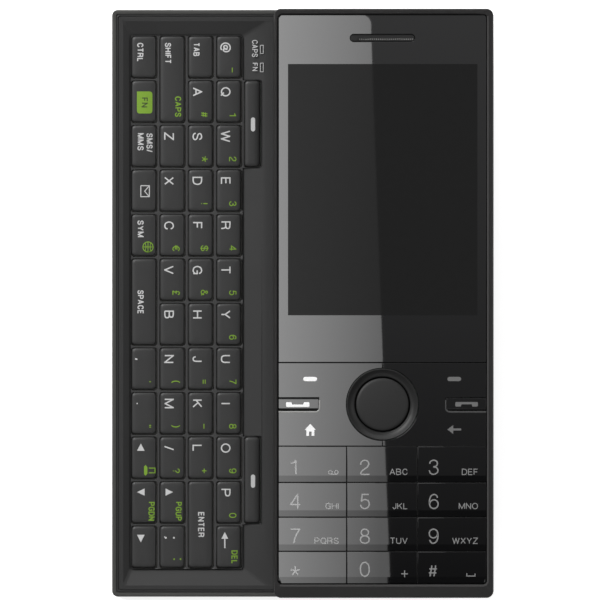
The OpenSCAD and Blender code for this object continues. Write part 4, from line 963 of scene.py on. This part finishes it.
def addLip(name, body, finish, points):
    # half-round lip along pixel points on a panel, its foot sunk into it
    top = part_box(body)[1].z
    bm = bmesh.new()
    rings = []
    for i, (u, v) in enumerate(points):
        a, b = points[max(i - 1, 0)], points[min(i + 1, len(points) - 1)]
        size = math.hypot(b[0] - a[0], b[1] - a[1])
        nx, ny = (b[1] - a[1]) / size, (b[0] - a[0]) / size
        ring = []
        for n in range(lip["steps"] + 1):
            turn = math.pi * n / lip["steps"]
            out = math.cos(turn) * lip["width"] * mm / 2
            up = (math.sin(turn) * lip["height"] - lip["sink"]) * mm
            ring.append(bm.verts.new((across(u) + nx * out, along(v) + ny * out, top + up)))
        rings.append(ring)
    bridge(bm, rings)
    addPiece(name, finishedMesh(bm, name, finish, lip["sharpFrom"]), body)


# painted trims round the opening for the glass: a lighter strip down its right side and along its foot as
# painted highlight, a black strip along its left side and top as painted groove shadow; sizes in pixels,
# heights in mm
trim = {"u": 488.7, "v": 586.6, "corner": 5.8, "chamfer": 1.7, "pathTop": 16, "pathLeft": 280,
        "proud": 0.004, "thick": 0.1,
        "grooveShadowOuter": ((277, 575), (277, 18), (281, 13.4), (479, 13.4), (484, 14.4)),
        "grooveShadowInner": ((278, 575), (278, 19), (282, 14.6), (479, 14.6), (483, 15.4))}
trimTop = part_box("slab_frame")[1].z + trim["proud"] * mm


def addPaintedRibbon(name, finish, outer, inner):
    # flat ribbon between two pixel paths, let into the bezel; its colour paints a highlight or a groove's
    # shadow
    bm = bmesh.new()
    low = trimTop - trim["thick"] * mm
    bridge(bm, [[bm.verts.new((across(u), along(v), z)) for (u, v), z in
                 ((o, trimTop), (i, trimTop), (i, low), (o, low))] for o, i in zip(outer, inner)])
    addPiece(name, finishedMesh(bm, name, finish), "display_half")


def cornerPath(u, v, r, inset):
    # down the right side of the opening and left along its foot
    return ([(u - inset, trim["pathTop"])] + circlePoints(u - r, v - r, r - inset, 6, 0, 90)
            + [(trim["pathLeft"], v - inset)])


# painted highlight: a lighter flat strip down the right side and along the foot of the opening, where the inner
# chamfer faces the key light
addPaintedRibbon("bezelChamfer", "chamferHighlightPaint", cornerPath(trim["u"], trim["v"], trim["corner"], 0),
        cornerPath(trim["u"], trim["v"], trim["corner"], trim["chamfer"]))
# painted shadow: a black flat strip along the left side and top of the opening, where the groove lies in shade
addPaintedRibbon("bezelGapUpper", "grooveShadowPaint", trim["grooveShadowOuter"], trim["grooveShadowInner"])
# lip colours: painted highlight beside the call key, painted shade beside the end key
addLip("callKeyLip", "left_rocker", "highlightPaintedLip",
       [(278.6, 412), (314, 412)] + circlePoints(315.6, 408.2, 3.8, 6, 80, 0) + [(319.4, 400)])
addLip("endKeyLip", "right_rocker", "shadePaintedLip",
       [(446, 400), (446, 408)] + circlePoints(449.8, 408.2, 3.8, 6, 180, 100) + [(451.5, 412), (486.2, 412)])

bodyOfNode = {n: b for b, members in frame["record"]["behaviour"]["bodies"].items() for n in members}
for (body, colour), bm in ink.items():
    name = body.replace("_", "") + colour[0].upper() + colour[1:]
    addPiece(name, finishedMesh(bm, name, colour), bodyOfNode[body])
print("printing made:", len(ink), "pieces")

# floor, reflected cards, lamps and camera
studio = {"floorHalf": 6.0, "cameraHeight": 3.0, "cardHeight": 0.5, "cameraU": 300, "cameraV": 300,
          "cardLeftU": 268, "cardReach": 0.35, "floorColour": "f2f2f2", "floorGlow": 0.75, "floorDrop": 0.2,
          "aimHeight": 0.01, "worldStrength": 0.16, "clipEnd": 20}
cameraX, cameraY = across(studio["cameraU"]), along(studio["cameraV"])
panelZ = glassHigh.z


def floorPaper():
    # white paper sweep, bright enough to read as white with the object's soft shadow on it
    mat, tree = newMaterial("whitePaperFloor")
    rays = addNode(tree, "ShaderNodeLightPath")
    seen = addNode(tree, "ShaderNodeMath", {"operation": "MAXIMUM"},
                   {0: rays.outputs["Is Camera Ray"], 1: rays.outputs["Is Glossy Ray"]})
    seen = addNode(tree, "ShaderNodeMath", {"operation": "MAXIMUM"},
                   {0: seen.outputs[0], 1: rays.outputs["Is Transmission Ray"]})
    paper = addNode(tree, "ShaderNodeBsdfDiffuse", {"Color": linear(studio["floorColour"])})
    glow = addNode(tree, "ShaderNodeEmission", {"Strength": studio["floorGlow"]})
    lit = addNode(tree, "ShaderNodeAddShader", None, {0: paper.outputs[0], 1: glow.outputs[0]})
    mix = addNode(tree, "ShaderNodeMixShader", None,
                  {0: seen.outputs[0], 1: paper.outputs[0], 2: lit.outputs[0]})
    finishMaterial(tree, mix)
    return mat


half = studio["floorHalf"]
mesh = bpy.data.meshes.new("paperFloor")
mesh.from_pydata([(-half, -half, 0), (half, -half, 0), (half, half, 0), (-half, half, 0)], [], [(0, 1, 2, 3)])
mesh.materials.append(floorPaper())
floor = newObject("paperFloor", mesh)
floor.location.z = cadBox[0][2] - studio["floorDrop"] * mm


def cardPoint(u, v):
    # where the camera's ray through the pixel lands on the card after the glass has turned it round
    x, y = across(u), along(v)
    share = (studio["cardHeight"] - panelZ) / (studio["cameraHeight"] - panelZ)
    return (x + (x - cameraX) * share, y + (y - cameraY) * share, studio["cardHeight"])


def cardLight(name, leftLevels, rightLevels):
    # glow of a card: levels at its left and right side, each at the upper and the lower end
    mat, tree = newMaterial(name)
    place = addNode(tree, "ShaderNodeTexCoord")
    part = addNode(tree, "ShaderNodeSeparateXYZ", None, {"Vector": place.outputs["Object"]})
    ends = {"From Min": cardPoint(0, 15)[1], "From Max": cardPoint(0, 584)[1]}
    left = addNode(tree, "ShaderNodeMapRange", {**ends, "To Min": leftLevels[0], "To Max": leftLevels[1]},
                   {"Value": part.outputs["Y"]})
    right = addNode(tree, "ShaderNodeMapRange", {**ends, "To Min": rightLevels[0], "To Max": rightLevels[1]},
                    {"Value": part.outputs["Y"]})
    level = addNode(tree, "ShaderNodeMapRange",
                    {"From Min": cardPoint(278, 0)[0], "From Max": cardPoint(381, 0)[0]},
                    {"Value": part.outputs["X"], "To Min": left.outputs["Result"],
                     "To Max": right.outputs["Result"]})
    glow = addNode(tree, "ShaderNodeEmission", None, {"Strength": level.outputs["Result"]})
    finishMaterial(tree, glow)
    return mat


# pixels where the reflection of the softbox ends on the glass and the panels
edge = [cardPoint(u, v) for u, v in (
    (359, 14), (364, 14.8), (368.5, 17.5), (371, 22), (372.2, 65), (373.7, 110), (382.3, 345), (385, 447),
    (390.3, 584), (393, 640))]
foot = [cardPoint(u, v) for u, v in ((386, 800), (390, 1900))]
reach = studio["cardReach"]
leftX = cardPoint(studio["cardLeftU"], 0)[0]


def closedAt(line, x):
    # from the line of the reflection's edge to a straight side at x
    return line + [(x, line[-1][1], line[0][2]), (x, line[0][1], line[0][2])]


# each card's outline and its glow at the left side (upper and lower end) and at the right side; the two feet
# are what the sloped lower ends of the number keys mirror
cards = {
    "softboxFace": (closedAt(edge, leftX), cardLight("softboxGlow", (6.4, 5.6), (3.8, 2.1))),
    "darkCard": (closedAt(edge, reach), cardLight("darkCardGlow", (0.65, 0.06), (0.65, 0.06))),
    "softboxFoot": (closedAt(foot, leftX), cardLight("softboxFootGlow", (3.9, 3.9), (1.5, 1.5))),
    "darkFoot": (closedAt(foot, reach), cardLight("darkFootGlow", (0.06, 0.04), (0.06, 0.04))),
}
for name, (points, glow) in cards.items():
    mesh = bpy.data.meshes.new(name)
    mesh.from_pydata(points, [], [tuple(range(len(points)))])
    mesh.materials.append(glow)
    card = newObject(name, mesh)
    card.visible_camera = False
    card.visible_shadow = False

# key light from the upper left, weak ones from the right, above and below; sizes in metres, power in watts
lamps = {
    "keyLamp": {"place": (-0.6, 0.6, 0.7), "size": (0.75, 0.75), "power": 13.4},
    "rightLamp": {"place": (0.7, 0.1, 0.6), "size": (0.4, 0.6), "power": 0.9},
    "upperStrip": {"place": (0.1, 0.95, 0.3), "size": (1.2, 0.35), "power": 3},
    "lowLamp": {"place": (0.1, -0.75, 0.6), "size": (0.6, 0.3), "power": 0.5},
}
for name, settings in lamps.items():
    lamp = bpy.data.lights.new(name, "AREA")
    lamp.shape = "RECTANGLE"
    lamp.size, lamp.size_y = settings["size"]
    lamp.energy = settings["power"]
    obj = newObject(name, lamp)
    obj.location = settings["place"]
    aim = Vector((cameraX, 0, studio["aimHeight"])) - Vector(settings["place"])
    obj.rotation_euler = aim.to_track_quat("-Z", "Y").to_euler()
    obj.visible_camera = False

world = bpy.data.worlds.new("paperRoom")
bpy.context.scene.world = world
world.use_nodes = True
world.node_tree.nodes["Background"].inputs["Color"].default_value = (1, 1, 1, 1)
world.node_tree.nodes["Background"].inputs["Strength"].default_value = studio["worldStrength"]

cameraData = bpy.data.cameras.new("productCamera")
camera = newObject("productCamera", cameraData)
camera.location = (cameraX, cameraY, studio["cameraHeight"])
frameWidth = photo["width"] * photo["pixel"]
cameraData.lens = cameraData.sensor_width * (studio["cameraHeight"] - panelZ) / frameWidth
cameraData.clip_end = studio["clipEnd"]
bpy.context.scene.camera = camera
bpy.context.scene.view_settings.view_transform = "Standard"
print("studio made")
